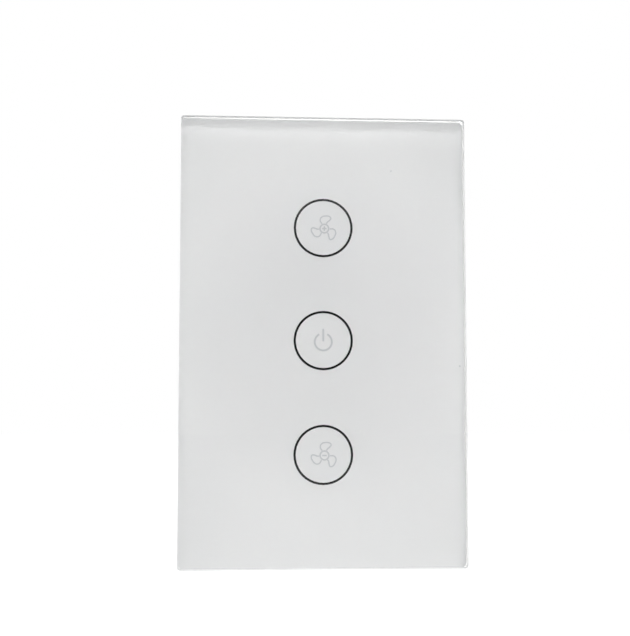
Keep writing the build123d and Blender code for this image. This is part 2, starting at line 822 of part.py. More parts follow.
for pole_name, pole_x in zip(pole_names, pole_places):
    with BuildPart() as terminal_pole:
        with BuildSketch(facing(board_rear)):
            with Locations((pole_x, pole_face + pole_depth / 2)):
                Rectangle(pole_width, pole_depth)
        extrude(amount=-(pole_rear - board_rear))
        with BuildSketch(facing(board_rear)):
            with Locations((pole_x, pole_face + (pole_depth + entry_wall - rear_wall) / 2)):
                Rectangle(cavity_width, pole_depth - entry_wall - rear_wall)
        extrude(amount=-(lip_front - board_rear), mode=Mode.SUBTRACT)
        with BuildSketch(Plane.XY.offset(pole_face)):
            with Locations((pole_x, wire_level)):
                Circle(wire_radius)
        extrude(amount=entry_wall, mode=Mode.SUBTRACT)
        with BuildSketch(facing(lip_front)):
            with Locations((pole_x, cage_middle)):
                Circle(clamp_screw_radius + turning_clearance)
        extrude(amount=-lip_thickness, mode=Mode.SUBTRACT)
        with BuildSketch(facing(lip_rear)):
            with Locations((pole_x, cage_middle)):
                Circle(clamp_head_radius + turning_clearance)
        extrude(amount=-(pole_rear - lip_rear), mode=Mode.SUBTRACT)
    write(terminal_pole, f"terminal_pole_{pole_name}")

    bar_pin = (pole_x, leg_bottom + bar_thickness / 2)
    lead_places.append(bar_pin)
    with BuildPart() as contact_bar:
        with BuildSketch(facing(bar_front)):
            with Locations((pole_x, (cage_bottom + leg_bottom + bar_thickness) / 2)):
                Rectangle(bar_width, leg_bottom + bar_thickness - cage_bottom)
        extrude(amount=-bar_thickness)
        with BuildSketch(facing(board_rear)):
            with Locations(bar_pin):
                Rectangle(bar_width, bar_thickness)
        extrude(amount=-(bar_front - board_rear))
        extrude(lead_art([bar_pin]), amount=lead_reach)
    write(contact_bar, f"contact_bar_{pole_name}")

    with BuildPart() as clamp_cage:
        with BuildSketch(Plane.XY.offset(cage_bottom)):
            with Locations((pole_x, (cage_rest + cage_rear) / 2)):
                Rectangle(cage_width, cage_rear - cage_rest)
            with Locations((pole_x, (cage_rest + cage_floor + cage_top_front) / 2)):
                Rectangle(cage_width - 2 * cage_side, cage_opening, mode=Mode.SUBTRACT)
        extrude(amount=cage_length)
        with BuildSketch(facing(cage_top_front)):
            with Locations((pole_x, cage_middle)):
                Circle(clamp_screw_radius + thread_clearance)
        extrude(amount=-cage_top, mode=Mode.SUBTRACT)
    write(clamp_cage, f"clamp_cage_{pole_name}")

    with BuildPart() as clamp_screw:
        with BuildSketch(facing(bar_rear + thread_clearance)):
            with Locations((pole_x, cage_middle)):
                Circle(clamp_screw_radius)
        extrude(amount=-(lip_rear - bar_rear))
        with BuildSketch(facing(lip_rear + thread_clearance)):
            with Locations((pole_x, cage_middle)):
                Circle(clamp_head_radius)
        extrude(amount=-clamp_head_height)
    write(clamp_screw, f"clamp_screw_{pole_name}")

# Power board: notched round the housing's columns and drilled for every lead

notch_x = board_width / 2 - column_x + column_size / 2 + part_wall_gap
notch_z = board_height / 2 - column_z + column_size / 2 + part_wall_gap
notches = [(x * (board_width - notch_x) / 2, z * (board_height - notch_z) / 2) for x, z in column_sides]
lead_hole = lead_size + 2 * lead_clearance

with BuildPart() as power_board:
    with BuildSketch(facing(board_front)):
        Rectangle(board_width, board_height)
        with Locations(*notches):
            Rectangle(notch_x, notch_z, mode=Mode.SUBTRACT)
        with Locations(*lead_places):
            Rectangle(lead_hole, lead_hole, mode=Mode.SUBTRACT)
    extrude(amount=-power_board_thickness)
write(power_board, "power_board")

print(f"panel {panel_width} x {panel_height}, depth {glass_front:.2f} to {housing_rear:.2f}")
print(f"housing {housing_width:.2f} x {housing_height:.2f}, step {step_rear:.2f}")
print(f"wire level {wire_level:.2f}")
print(f"pole face {pole_face:.2f}, cage middle {cage_middle:.2f}, poles at {pole_places}")
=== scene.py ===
# %% [markdown]
# # A glass touch switch for a ceiling fan
# The object is a wall switch: a sheet of white-backed glass with three ringed keys, snapped over a yoke
# that screws to a wall box, with the electronics in a black housing behind. The parts come from the CAD
# model. This lesson gives them their finishes, and it adds the print and what is too fine for CAD.

# %% Load the parts
from functools import partial
from math import pi, radians

import bmesh
import bpy
from mathutils import Matrix, Vector


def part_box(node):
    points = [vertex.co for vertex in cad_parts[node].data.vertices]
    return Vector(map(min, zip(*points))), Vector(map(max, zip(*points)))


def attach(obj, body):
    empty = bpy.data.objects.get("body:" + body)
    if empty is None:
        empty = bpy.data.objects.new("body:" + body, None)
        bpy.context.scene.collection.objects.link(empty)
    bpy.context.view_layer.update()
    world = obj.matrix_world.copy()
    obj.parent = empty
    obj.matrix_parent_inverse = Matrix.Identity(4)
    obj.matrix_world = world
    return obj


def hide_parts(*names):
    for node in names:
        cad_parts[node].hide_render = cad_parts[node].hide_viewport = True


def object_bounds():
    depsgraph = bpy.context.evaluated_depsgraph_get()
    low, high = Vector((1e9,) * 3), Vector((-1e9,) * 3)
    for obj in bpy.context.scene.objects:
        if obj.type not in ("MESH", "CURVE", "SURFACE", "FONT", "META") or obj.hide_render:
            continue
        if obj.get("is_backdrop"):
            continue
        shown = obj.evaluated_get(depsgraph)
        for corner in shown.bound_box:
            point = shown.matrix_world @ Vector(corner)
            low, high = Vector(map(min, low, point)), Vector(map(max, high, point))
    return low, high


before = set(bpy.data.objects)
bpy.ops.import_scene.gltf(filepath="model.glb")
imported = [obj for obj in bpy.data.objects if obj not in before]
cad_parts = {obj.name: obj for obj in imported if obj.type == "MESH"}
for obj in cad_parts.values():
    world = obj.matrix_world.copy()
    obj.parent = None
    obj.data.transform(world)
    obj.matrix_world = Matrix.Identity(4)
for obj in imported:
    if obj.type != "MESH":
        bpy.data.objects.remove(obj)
cad_low, cad_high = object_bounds()
print(len(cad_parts), "nodes,", [round((b - a) * 1000, 2) for a, b in zip(cad_low, cad_high)], "mm")

# %% [markdown]
# ## Units, colours and nodes
# The frame is in metres, so lengths are written in millimetres times MM. Colours are written as on a paint
# card, in sRGB, and turned linear for the shaders. One function adds any node, with its settings and links.
# Each finish ties that function to its own tree.

# %% Units, colours and nodes
MM = 0.001


def linear(card):
    """An sRGB hex colour as the linear RGBA that a shader takes."""
    parts = [int(card[i:i + 2], 16) / 255 for i in (1, 3, 5)]
    return [c / 12.92 if c <= 0.04045 else ((c + 0.055) / 1.055) ** 2.4 for c in parts] + [1.0]


def dress(node, sockets):
    """Sets or links what is named of a node. A text is a colour, and a node stands for its first output."""
    for key, value in sockets.items():
        if isinstance(value, bpy.types.Node):
            value = value.outputs[0]
        if isinstance(value, bpy.types.NodeSocket):
            node.id_data.links.new(value, node.inputs[key])
        elif isinstance(key, int) or key in node.inputs:
            node.inputs[key].default_value = linear(value) if isinstance(value, str) else value
        else:
            setattr(node, key, value)


def add_node(tree, kind, sockets):
    """Adds a node with its settings and links."""
    node = tree.nodes.new(kind)
    dress(node, sockets)
    return node


print("white is", linear("#FFFFFF")[:3], "mid grey is", [round(c, 3) for c in linear("#808080")[:3]])

# %% [markdown]
# ## Finishes
# A finish starts as one shader with the constants of the real material, and later cells add its pattern.
# Patterns are laid out in object coordinates, so they keep their real size on every part.

# %% Finishes
def new_finish(name, constants):
    """A material, what adds its nodes, its shader set to the constants of the real stuff, and coordinates."""
    finish = bpy.data.materials.new(name)
    finish.use_nodes = True
    add = partial(add_node, finish.node_tree)
    shader = finish.node_tree.nodes["Principled BSDF"]
    dress(shader, constants)
    return finish, add, shader, add("ShaderNodeTexCoord", {}).outputs["Object"]


def give(finish, nodes):
    """Gives a finish to parts of the CAD model. With no parts it is kept for new pieces."""
    for node in nodes:
        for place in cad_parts[node].material_slots:
            place.material = finish
    print(finish.name, "for", ", ".join(nodes) or "new pieces")
    return finish


# %% [markdown]
# ## The camera
# The four corners of the glass in the photograph are not quite square: the sheet widens downward and leans
# a little to the left. Solving for a pinhole camera from them puts it a third of a metre in front of the
# glass, a little to the left and below the middle, looking slightly up.

# %% The camera
CAMERA_AT = Vector((-23.3, -322.5, -20.8)) * MM
CAMERA_AIM = Vector((-2.35, -12.1, 5.7)) * MM
scene = bpy.context.scene
camera = bpy.data.objects.new("photo_camera", bpy.data.cameras.new("photo_camera"))
camera.data.lens = 67.9
camera.data.sensor_width = 36.0
camera.data.clip_start = 10 * MM
camera.location = CAMERA_AT
camera.rotation_euler = (CAMERA_AIM - CAMERA_AT).to_track_quat("-Z", "Y").to_euler()
scene.collection.objects.link(camera)
scene.camera = camera
scene.view_settings.view_transform = "Standard"
print("camera", round((CAMERA_AIM - CAMERA_AT).length * 1000), "mm from the glass")

# %% [markdown]
# ## A white studio
# The photograph is a cut-out on white. Here the surroundings are white where the camera, a reflection or
# the clear glass looks straight at them, and a plain fill everywhere else, so that they do not flood the
# object. Light that has already met a matt surface counts as fill, so the print behind the glass is lit
# like the rest.

# %% What is seen straight
FILL = 0.18


def rays(add):
    """The kinds of a ray, and a node that gives one until the ray has met a matt surface."""
    kinds = add("ShaderNodeLightPath", {}).outputs
    fresh = add("ShaderNodeMath", {"operation": "LESS_THAN", 1: 0.5, 0: kinds["Diffuse Depth"]})
    return kinds, fresh


def seen_straight(add):
    """One where a ray shows the surroundings to the eye, nought where it only carries light."""
    kinds, fresh = rays(add)
    seen = kinds["Is Camera Ray"]
    for kind in ("Is Glossy Ray", "Is Transmission Ray"):
        seen = add("ShaderNodeMath", {"operation": "MAXIMUM", 0: seen, 1: kinds[kind]})
    return add("ShaderNodeMath", {"operation": "MULTIPLY", 0: seen, 1: fresh})


print("fill level", FILL)

# %% [markdown]
# ## What reflections see
# A dark card opposite the camera, in the middle of a white reflector, shows faintly in the glass and leaves
# its edges brighter. A white strip above them lightens the top of the sheet, and a white board straight to
# the left and to the right lights up the bevel. None of these is modelled: each is a range of directions
# with soft edges that only a reflected ray can meet.

# %% Card, reflector, strip and boards
CARD_SHAPE, CARD_EDGE = (1.0, 1.0, 0.8), 0.992
REFLECTOR, REFLECTOR_ON_TABLE, REFLECTOR_EDGE = 0.7, 0.1, 0.955
STRIP, STRIP_WAY, STRIP_SHAPE, STRIP_EDGE = 1.5, (0.0, -0.95, 0.32), (0.3, 1.0, 1.0), 0.9925
BOARDS, BOARD_GAP, BOARD_EDGE, BOARD_CORE = 1.0, 3 * MM, 0.6, 0.25
opposite_camera = (-camera.location.x, camera.location.y, -camera.location.z)
glass_low, glass_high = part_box("glass_panel")


def towards(add, heading, way, shape, edge):
    """Rises from nought to one towards a place, within a cone that a shape narrows or widens."""
    shaped = add("ShaderNodeVectorMath", {"operation": "MULTIPLY", 1: shape, 0: heading})
    ray = add("ShaderNodeVectorMath", {"operation": "NORMALIZE", 0: shaped})
    aim = (Vector(way) * Vector(shape)).normalized()
    facing = add("ShaderNodeVectorMath", {"operation": "DOT_PRODUCT", 1: aim, 0: ray})
    return add("ShaderNodeMapRange", {
        "interpolation_type": "SMOOTHSTEP", "From Min": edge, "Value": facing.outputs["Value"]})


def towards_boards(add, place):
    """Rises from nought to the strength of the white boards straight to the left and right of the glass."""
    parts = add("ShaderNodeSeparateXYZ", {0: place})
    out, off = parts.outputs["X"], parts.outputs["Y"]
    for operation, number in (("ABSOLUTE", 0.0), ("SUBTRACT", glass_high.x), ("MAXIMUM", BOARD_GAP)):
        out = add("ShaderNodeMath", {"operation": operation, 1: number, 0: out})
    for operation, number in (("SUBTRACT", glass_low.y), ("ABSOLUTE", 0.0)):
        off = add("ShaderNodeMath", {"operation": operation, 1: number, 0: off})
    slant = add("ShaderNodeMath", {"operation": "DIVIDE", 0: off, 1: out})
    return add("ShaderNodeMapRange", {
        "interpolation_type": "SMOOTHSTEP", "From Min": BOARD_EDGE, "From Max": BOARD_CORE,
        "To Max": BOARDS, "Value": slant})


def as_mirrored(add, strength, heading, place, reflector):
    """A strength that reflections see changed by the card, the reflector, the strip and the boards."""
    kinds, fresh = rays(add)
    card = towards(add, heading, opposite_camera, CARD_SHAPE, CARD_EDGE)
    wide = towards(add, heading, opposite_camera, CARD_SHAPE, REFLECTOR_EDGE)
    strip = towards(add, heading, STRIP_WAY, STRIP_SHAPE, STRIP_EDGE)
    clear = add("ShaderNodeMath", {"operation": "SUBTRACT", 0: 1.0, 1: card})
    ring = add("ShaderNodeMath", {"operation": "MULTIPLY", 0: wide, 1: clear})
    more = add("ShaderNodeMath", {
        "operation": "MULTIPLY_ADD", 1: reflector, 0: ring, 2: towards_boards(add, place)})
    more = add("ShaderNodeMath", {"operation": "MULTIPLY_ADD", 1: STRIP, 0: strip, 2: more})
    shown = add("ShaderNodeMath", {"operation": "MULTIPLY_ADD", 0: more, 1: fresh, 2: clear})
    share = add("ShaderNodeMix", {2: 1.0, 0: kinds["Is Glossy Ray"], 3: shown})
    return add("ShaderNodeMath", {"operation": "MULTIPLY", 0: strength, 1: share})


print("the card stands at", [round(c * 1000, 1) for c in opposite_camera], "mm")

# %% [markdown]
# ## The surroundings
# The world is a white shell all round. Its level and what reflections see of it come from the two steps
# above.

# %% White surroundings
scene.world = bpy.data.worlds.new("white_studio")
scene.world.use_nodes = True
tree = scene.world.node_tree
add = partial(add_node, tree)
level = add("ShaderNodeMapRange", {"To Min": FILL, "To Max": 1.0, "Value": seen_straight(add)})
way_out = add("ShaderNodeTexCoord", {}).outputs["Generated"]
surround = tree.nodes["Background"]
dress(surround, {"Color": "#FFFFFF", "Strength": as_mirrored(add, level, way_out, way_out, REFLECTOR)})
print("the world has", len(tree.nodes), "nodes")

# %% [markdown]
# ## The table
# The switch stands on its lower edge on a light table, the lit white panel that small goods are
# photographed on. To the eye it merges with the white behind it and keeps a faint shadow under the glass.
# To the object it is a soft light from below, strongest in a pool in front of the glass that reaches 200 mm
# each way.

# %% The table
TABLE = 3.0
POOL_SHIFT, POOL_SCALE = (0.0, 0.7, 0.3), (5.0, 5.0, 5.0)
LIGHT_FROM, LIGHT_TO = 0.38, 2.7
SHOWN_FROM, SHOWN_TO = 1.49, 1.9
GLOW = 0.62
mirrored_at = (0.0, 0.0, cad_low.z * 0.7)
bm = bmesh.new()
bmesh.ops.create_grid(bm, x_segments=1, y_segments=1, size=TABLE)
bmesh.ops.translate(bm, verts=bm.verts, vec=(0, 0, cad_low.z))
table = bpy.data.objects.new("table", bpy.data.meshes.new("table"))
bm.to_mesh(table.data)
bm.free()
scene.collection.objects.link(table)

# Table paper: matt white, most of it the glow of the panel below.
paper, add, matt, spot = new_finish("white table paper", {"Base Color": "#E8E8E8", "Roughness": 0.9})
pool = add("ShaderNodeMapping", {"Location": POOL_SHIFT, "Scale": POOL_SCALE, "Vector": spot})
pool = add("ShaderNodeTexGradient", {"gradient_type": "SPHERICAL", "Vector": pool}).outputs["Fac"]
under = add("ShaderNodeMapRange", {"To Min": LIGHT_FROM, "To Max": LIGHT_TO, "Value": pool})
shown = add("ShaderNodeMapRange", {"To Min": SHOWN_FROM, "To Max": SHOWN_TO, "Value": pool})
strength = add("ShaderNodeMix", {0: seen_straight(add), 2: under, 3: shown})
where = add("ShaderNodeNewGeometry", {}).outputs["Position"]
heading = add("ShaderNodeVectorMath", {"operation": "SUBTRACT", 1: mirrored_at, 0: where})
strength = as_mirrored(add, strength, heading, where, REFLECTOR_ON_TABLE)
glow = add("ShaderNodeEmission", {"Color": "#FFFFFF", "Strength": strength})
blend = add("ShaderNodeMixShader", {0: GLOW, 1: matt, 2: glow})
dress(paper.node_tree.nodes["Material Output"], {"Surface": blend})
table.data.materials.append(paper)
table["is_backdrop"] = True
print("table at", round(cad_low.z * 1000, 2), "mm")

# %% [markdown]
# ## Lamps
# Broad soft boxes keep the glass free of hard glints. The main one shines down on the front at half a right
# angle: the glass bends its light past the top of the print, which leaves a grey strip under that edge. One
# stands on each side, and one lights the back.

# %% Lamps
LAMPS = [  # name, place and size in metres, power in watts
    ("softbox_above", (0.0, -0.62, 0.66), (0.70, 0.32), 6.0),
    ("softbox_left", (-0.70, -0.60, 0.15), (0.50, 0.50), 1.12),
    ("softbox_right", (0.70, -0.60, 0.15), (0.50, 0.50), 1.27),
    ("softbox_behind", (0.25, 0.80, 0.50), (0.60, 0.60), 6.0),
]
for name, place, size, power in LAMPS:
    lamp = bpy.data.lights.new(name, "AREA")
    lamp.shape = "RECTANGLE"
    lamp.size, lamp.size_y = size
    lamp.energy = power
    box = bpy.data.objects.new(name, lamp)
    box.location = place
    box.rotation_euler = (-Vector(place)).to_track_quat("-Z", "Y").to_euler()
    scene.collection.objects.link(box)
    print(name, power, "W")

# %% [markdown]
# ## Pieces
# A new piece is one mesh, shaded smooth except along its sharp edges, that rides with the body it is fixed
# to. Its faces are turned outwards first, because turning a section can leave a shape inside out.

# %% Pieces
SHARP = radians(35)


def new_piece(name, bm, body, finish, sharp=SHARP):
    """Turns a bmesh into a piece of the switch that rides with a body and wears a finish."""
    bmesh.ops.recalc_face_normals(bm, faces=bm.faces)
    mesh = bpy.data.meshes.new(name)
    bm.to_mesh(mesh)
    bm.free()
    mesh.shade_smooth()
    mesh.set_sharp_from_angle(angle=sharp)
    mesh.materials.append(finish)
    piece = bpy.data.objects.new(name, mesh)
    scene.collection.objects.link(piece)
    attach(piece, body)
    print(name, "has", len(mesh.polygons), "faces")
    return piece


# %% [markdown]
# ## The glass
# The front is a sheet of tempered glass, 4 mm thick, with a flat polished bevel all round its front edge,
# ground walls and a fine arris at the rear. The print is fired on to its rear face, so the sheet is carried
# a hair's breadth past the print: then no air lies between them and the white seems to lie inside the
# glass, as on the real one.

# %% The glass sheet
CORNER, BEVEL, ARRIS = 0.8 * MM, 0.5 * MM, 0.25 * MM
SINK = 0.05 * MM
CLOSE = 1e-7


def soften(bm, edges, width, segments):
    """Bevels some edges."""
    bmesh.ops.bevel(bm, geom=edges, offset=width, offset_type="OFFSET", affect="EDGES", segments=segments,
                    profile=0.5, material=-1)


def rim(bm, level):
    """The edges of a piece that lie at one depth."""
    return [e for e in bm.edges if all(abs(v.co.y - level) < CLOSE for v in e.verts)]


size = glass_high - glass_low + Vector((0, SINK, 0))
middle = (glass_low + glass_high + Vector((0, SINK, 0))) / 2
bm = bmesh.new()
bmesh.ops.create_cube(bm, size=1.0, matrix=Matrix.Translation(middle) @ Matrix.Diagonal(size.to_4d()))
upright = [e for e in bm.edges if abs(e.verts[0].co.y - e.verts[1].co.y) > size.y / 2]
soften(bm, upright, CORNER, 8)
soften(bm, rim(bm, glass_low.y), BEVEL, 1)
soften(bm, rim(bm, glass_high.y + SINK), ARRIS, 1)
print("the sheet is", [round(c * 1000, 2) for c in size], "mm")

# %% [markdown]
# ## Clear and ground glass
# The sheet wears two finishes: polished on its faces and bevels, and stone-ground on its walls. The polish
# is dulled very slightly in soft smears, as any handled glass is.

# %% Clear and ground glass
SMEAR, HANDLED = 12 * MM, 0.012
GRIT = 0.25 * MM
GLASS_SHARP = radians(20)


def grained(name, tones, constants, grain, detail, *nodes):
    """A stuff of two close tones in a fine grain, given to parts."""
    finish, add, shader, spot = new_finish(name, constants)
    speck = add("ShaderNodeTexNoise", {"Scale": 1 / grain, "Detail": detail, "Vector": spot})
    tone = add("ShaderNodeMixRGB", {"Color1": tones[0], "Color2": tones[1], "Fac": speck})
    dress(shader, {"Base Color": tone})
    return give(finish, nodes)


# Clear low-iron glass: the eye gets a hard clean reflection and looks straight through to the print.
glass, add, shader, spot = new_finish("clear tempered glass", {
    "Base Color": "#FFFFFF", "Transmission Weight": 1.0, "IOR": 1.52})
smear = add("ShaderNodeTexNoise", {"Scale": 1 / SMEAR, "Detail": 3.0, "Vector": spot})
gloss = add("ShaderNodeMapRange", {"To Min": 0.0, "To Max": HANDLED, "Value": smear})
dress(shader, {"Roughness": gloss})

# Ground glass: the walls of the sheet are seamed with a fine stone. They scatter half of the light and let
# the other half through, which leaves them pale and dull and darkens the print a little along its margin.
ground = grained("ground glass edge", ("#C8CBCC", "#D4D7D8"),
                 {"Transmission Weight": 0.5, "IOR": 1.52, "Roughness": 0.45}, GRIT, 2.0)
for face in bm.faces:
    face.material_index = int(abs(face.normal.y) < 0.1)
sheet = new_piece("glass_sheet", bm, "front_panel", glass, GLASS_SHARP)
sheet.data.materials.append(ground)
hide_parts("glass_panel")

# %% [markdown]
# ## The printed layers
# Behind the glass lies a white ceramic ink, screened on in two passes so that a faint weave of the screen
# is left in it, and the three key rings are black ink in gaps left in the white. Both are matt where they
# touch the glass.

# %% White and black ink
MATT_INK = {"Roughness": 0.6, "Specular IOR Level": 0.1}
DENSE_INK = {"Roughness": 0.5, "Specular IOR Level": 0.1}
COAT, SCREEN, SCREEN_SHARE = 25 * MM, 0.3 * MM, 0.3
# White ink: a cool even white that is a touch uneven, like any screened coat.
white, add, shader, spot = new_finish("white ceramic ink", MATT_INK)
cloud = add("ShaderNodeTexNoise", {"Scale": 1 / COAT, "Detail": 2.0, "Vector": spot})
weave = add("ShaderNodeTexNoise", {"Scale": 1 / SCREEN, "Detail": 1.0, "Vector": spot})
both = add("ShaderNodeMath", {"operation": "MULTIPLY_ADD", 1: SCREEN_SHARE, 0: weave, 2: cloud})
tone = add("ShaderNodeMixRGB", {"Color1": "#F9FAFA", "Color2": "#FDFDFD", "Fac": both})
dress(shader, {"Base Color": tone})
give(white, ["white_print"])
# Black ink: a dense neutral black, thin at its edges.
grained("black ceramic ink", ("#050506", "#17171A"), DENSE_INK, 0.2 * MM, 1.0, "ring_print")

# %% [markdown]
# ## Strokes of ink
# Three small tools draw lines of ink. An arc is a flat nib turned about a centre, a bar is a flat block,
# and a free line is a smooth curve with a round pen, flattened. The turning tool serves springs and
# threads later: it can rise while it turns, and it closes the ends.

# %% Strokes of ink
INK_FRONT = glass_high.y - 0.03 * MM
INK_DEPTH = 0.02 * MM
ARC_STEPS = 40


def edges_of(verts):
    """The edges that meet at some corners, each once."""
    return list(dict.fromkeys(e for v in verts for e in v.link_edges))


def turn(bm, section, centre, axis, angle, steps, rise=(0, 0, 0)):
    """Turns a section about an axis, rising with each step, and closes its ends or joins them."""
    whole = abs(angle - 2 * pi) < 1e-6
    bmesh.ops.spin(bm, geom=section + edges_of(section), cent=centre, axis=axis, dvec=rise, angle=angle,
                   steps=steps, use_merge=whole)
    if not whole:
        bmesh.ops.holes_fill(bm, edges=[e for e in bm.edges if e.is_boundary])


def draw_arc(bm, centre, radius, width, start, sweep):
    """A flat stroke along part or all of a circle that faces the front."""
    nib = (Matrix.Translation((radius, 0, 0)) @ Matrix.Diagonal((width, INK_DEPTH, 1, 1))
           @ Matrix.Rotation(pi / 4, 4, "Z"))
    at = Matrix.Translation(centre) @ Matrix.Rotation(-start, 4, "Y")
    section = bmesh.ops.create_circle(bm, segments=4, radius=0.5 ** 0.5, matrix=at @ nib)["verts"]
    turn(bm, section, centre, (0, -1, 0), sweep, ARC_STEPS)


def draw_bar(bm, centre, width, height):
    """A flat straight stroke."""
    at = Matrix.Translation(centre) @ Matrix.Diagonal((width, INK_DEPTH, height, 1))
    bmesh.ops.create_cube(bm, size=1.0, matrix=at)


def draw_line(bm, centre, points, width):
    """A flat smooth stroke through points given right and up of a centre, in millimetres."""
    curve = bpy.data.curves.new("stroke", "CURVE")
    curve.dimensions = "3D"
    curve.bevel_depth = width / 2
    curve.bevel_resolution = 1
    curve.resolution_u = 6
    curve.use_fill_caps = True
    line = curve.splines.new("BEZIER")
    line.bezier_points.add(len(points) - 1)
    for knot, (right, up) in zip(line.bezier_points, points):
        knot.co = (right * MM, 0, up * MM)
        knot.handle_left_type = knot.handle_right_type = "AUTO"
    stroke = bpy.data.objects.new("stroke", curve)
    flat = bpy.data.meshes.new_from_object(stroke)
    flat.transform(Matrix.Translation(centre) @ Matrix.Diagonal((1, INK_DEPTH / width, 1, 1)))
    bm.from_mesh(flat)
    bpy.data.objects.remove(stroke)
    bpy.data.curves.remove(curve)
    bpy.data.meshes.remove(flat)


print("ink lies at", round(INK_FRONT * 1000, 3), "mm")

# %% [markdown]
# ## The key symbols
# Each ring frames a fine grey symbol: a three-bladed fan with a plus in its hub, the power sign, and the
# same fan with a minus. Their lines are half a millimetre wide or less and show only when one looks
# closely. One blade is drawn and repeated round the hub.

# %% The key symbols
FAN_LINE, HUB, SIGN = 0.40 * MM, 1.14 * MM, 1.2 * MM
FAN_RIGHT, FAN_DOWN = 0.3 * MM, 0.15 * MM
POWER_LINE, POWER_RADIUS, POWER_GAP, POWER_DOWN = 0.5 * MM, 2.25 * MM, radians(28), 0.35 * MM
STEM, STEM_UP = 3.3 * MM, 1.8 * MM
BLADE = [(-0.63, 1.25), (-1.10, 2.20), (-0.71, 3.05), (0.35, 3.36), (1.38, 3.20), (1.72, 2.75),
         (1.36, 2.18), (0.72, 1.62), (0.57, 1.25)]
rings_low, rings_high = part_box("ring_print")
ring_radius = (rings_high.x - rings_low.x) / 2
pitch = (rings_high.z - rings_low.z) / 2 - ring_radius
print("keys are", round(pitch * 1000, 2), "mm apart, rings", round(ring_radius * 2000, 2), "mm across")


def all_of(bm):
    """Everything in a bmesh."""
    return bm.verts[:] + bm.edges[:] + bm.faces[:]


# Grey ink: a pale neutral grey that stays faint on the white.
grey_ink = grained("grey ceramic ink", ("#D9DBDD", "#E4E6E7"), MATT_INK, 0.15 * MM, 1.0)
for name, level, plus in (("fan_faster_symbol", pitch, True), ("fan_slower_symbol", -pitch, False)):
    hub = Vector((FAN_RIGHT, INK_FRONT, level - FAN_DOWN))
    bm = bmesh.new()
    draw_line(bm, hub, BLADE, FAN_LINE)
    bmesh.ops.spin(bm, geom=all_of(bm), cent=hub, axis=(0, -1, 0), angle=4 * pi / 3, steps=2,
                   use_duplicate=True)
    draw_arc(bm, hub, HUB, FAN_LINE, 0, 2 * pi)
    draw_bar(bm, hub, SIGN, FAN_LINE)
    if plus:
        draw_bar(bm, hub, FAN_LINE, SIGN)
    new_piece(name, bm, "front_panel", grey_ink)

bm = bmesh.new()
ring_middle = Vector((0, INK_FRONT, -POWER_DOWN))
draw_arc(bm, ring_middle, POWER_RADIUS, POWER_LINE, pi / 2 + POWER_GAP, 2 * pi - 2 * POWER_GAP)
draw_bar(bm, ring_middle + Vector((0, 0, STEM_UP)), POWER_LINE, STEM)
new_piece("power_symbol", bm, "front_panel", grey_ink)

# %% [markdown]
# ## Flecks
# Two flecks of dust were fired in with the print, one high on the right and one beside the right edge. They
# are flattened beads of the same grey, half a millimetre across.

# %% Flecks
FLECKS = [(18.1, 45.3), (36.1, -6.6)]
FLECK = 0.22 * MM
flattened = Matrix.Diagonal((1.3, INK_DEPTH / FLECK / 2, 0.9, 1))
bm = bmesh.new()
for right, up in FLECKS:
    at = Matrix.Translation((right * MM, INK_FRONT, up * MM)) @ flattened
    bmesh.ops.create_icosphere(bm, subdivisions=2, radius=FLECK, matrix=at)
new_piece("print_flecks", bm, "front_panel", grey_ink)

# %% [markdown]
# ## Moulded plastics
# Most of the other parts are moulded. A moulding is never one flat colour: the melt leaves soft flow
# patches, and the tool leaves a fine spark-eroded grain that breaks up the shine. One function gives both
# in their real sizes.

# %% Moulded plastics
GRAIN_SHARE = 0.6


def moulded(name, tones, rough, sizes, constants, *nodes):
    """A moulded, cast or dipped stuff, given to parts. Its patch, grain and depth are in millimetres."""
    finish, add, shader, spot = new_finish(name, constants)
    patch, grain, depth = (size * MM for size in sizes)
    flow = add("ShaderNodeTexNoise", {"Scale": 1 / patch, "Detail": 3.0, "Vector": spot})
    spark = add("ShaderNodeTexNoise", {"Scale": 1 / grain, "Detail": 2.0, "Vector": spot})
    fleck = add("ShaderNodeMath", {
        "operation": "MULTIPLY_ADD", 1: GRAIN_SHARE, 2: -GRAIN_SHARE / 2, 0: spark})
    mottle = add("ShaderNodeMath", {"operation": "ADD", 0: flow, 1: fleck})
    tone = add("ShaderNodeMixRGB", {"Color1": tones[0], "Color2": tones[1], "Fac": mottle})
    shine = add("ShaderNodeMapRange", {"To Min": rough[0], "To Max": rough[1], "Value": mottle})
    skin = add("ShaderNodeBump", {"Distance": depth, "Height": spark})
    dress(shader, {"Base Color": tone, "Roughness": shine, "Normal": skin})
    return give(finish, nodes)


# White polycarbonate: a warm opaque white with a soft sheen. Its grain is drawn twice as coarse as it is.
moulded("white polycarbonate", ("#E2E2DD", "#EDEDEA"), (0.36, 0.50), (18, 0.50, 0.025), {"IOR": 1.58},
        "panel_frame", "mounting_yoke")
# Black polycarbonate: a dull charcoal with a coarse grain that hides finger marks, drawn twice as large.
moulded("black polycarbonate", ("#161719", "#2B2C30"), (0.40, 0.62), (15, 0.80, 0.08), {"IOR": 1.58},
        "rear_housing")
# Green polyamide: the usual green of clamp terminals, a little waxy.
moulded("green polyamide", ("#2B7B50", "#37905F"), (0.30, 0.44), (4, 0.20, 0.006), {"IOR": 1.53},
        "terminal_pole_line", "terminal_pole_neutral", "terminal_pole_fan")
# Acrylic foam: matt white with fine closed cells that show at its cut edge.
moulded("white acrylic foam", ("#DEDEDA", "#F2F2EE"), (0.80, 0.95), (0.5, 0.18, 0.05), {"IOR": 1.47},
        "bond_tape")

# %% [markdown]
# ## Cases of the parts inside
# The relays, plugs, chips, fuse and capacitors are cased in plastics and resins of their own. They show
# through the vents and with the panel off, so each gets the tone and shine that tells it from the next.

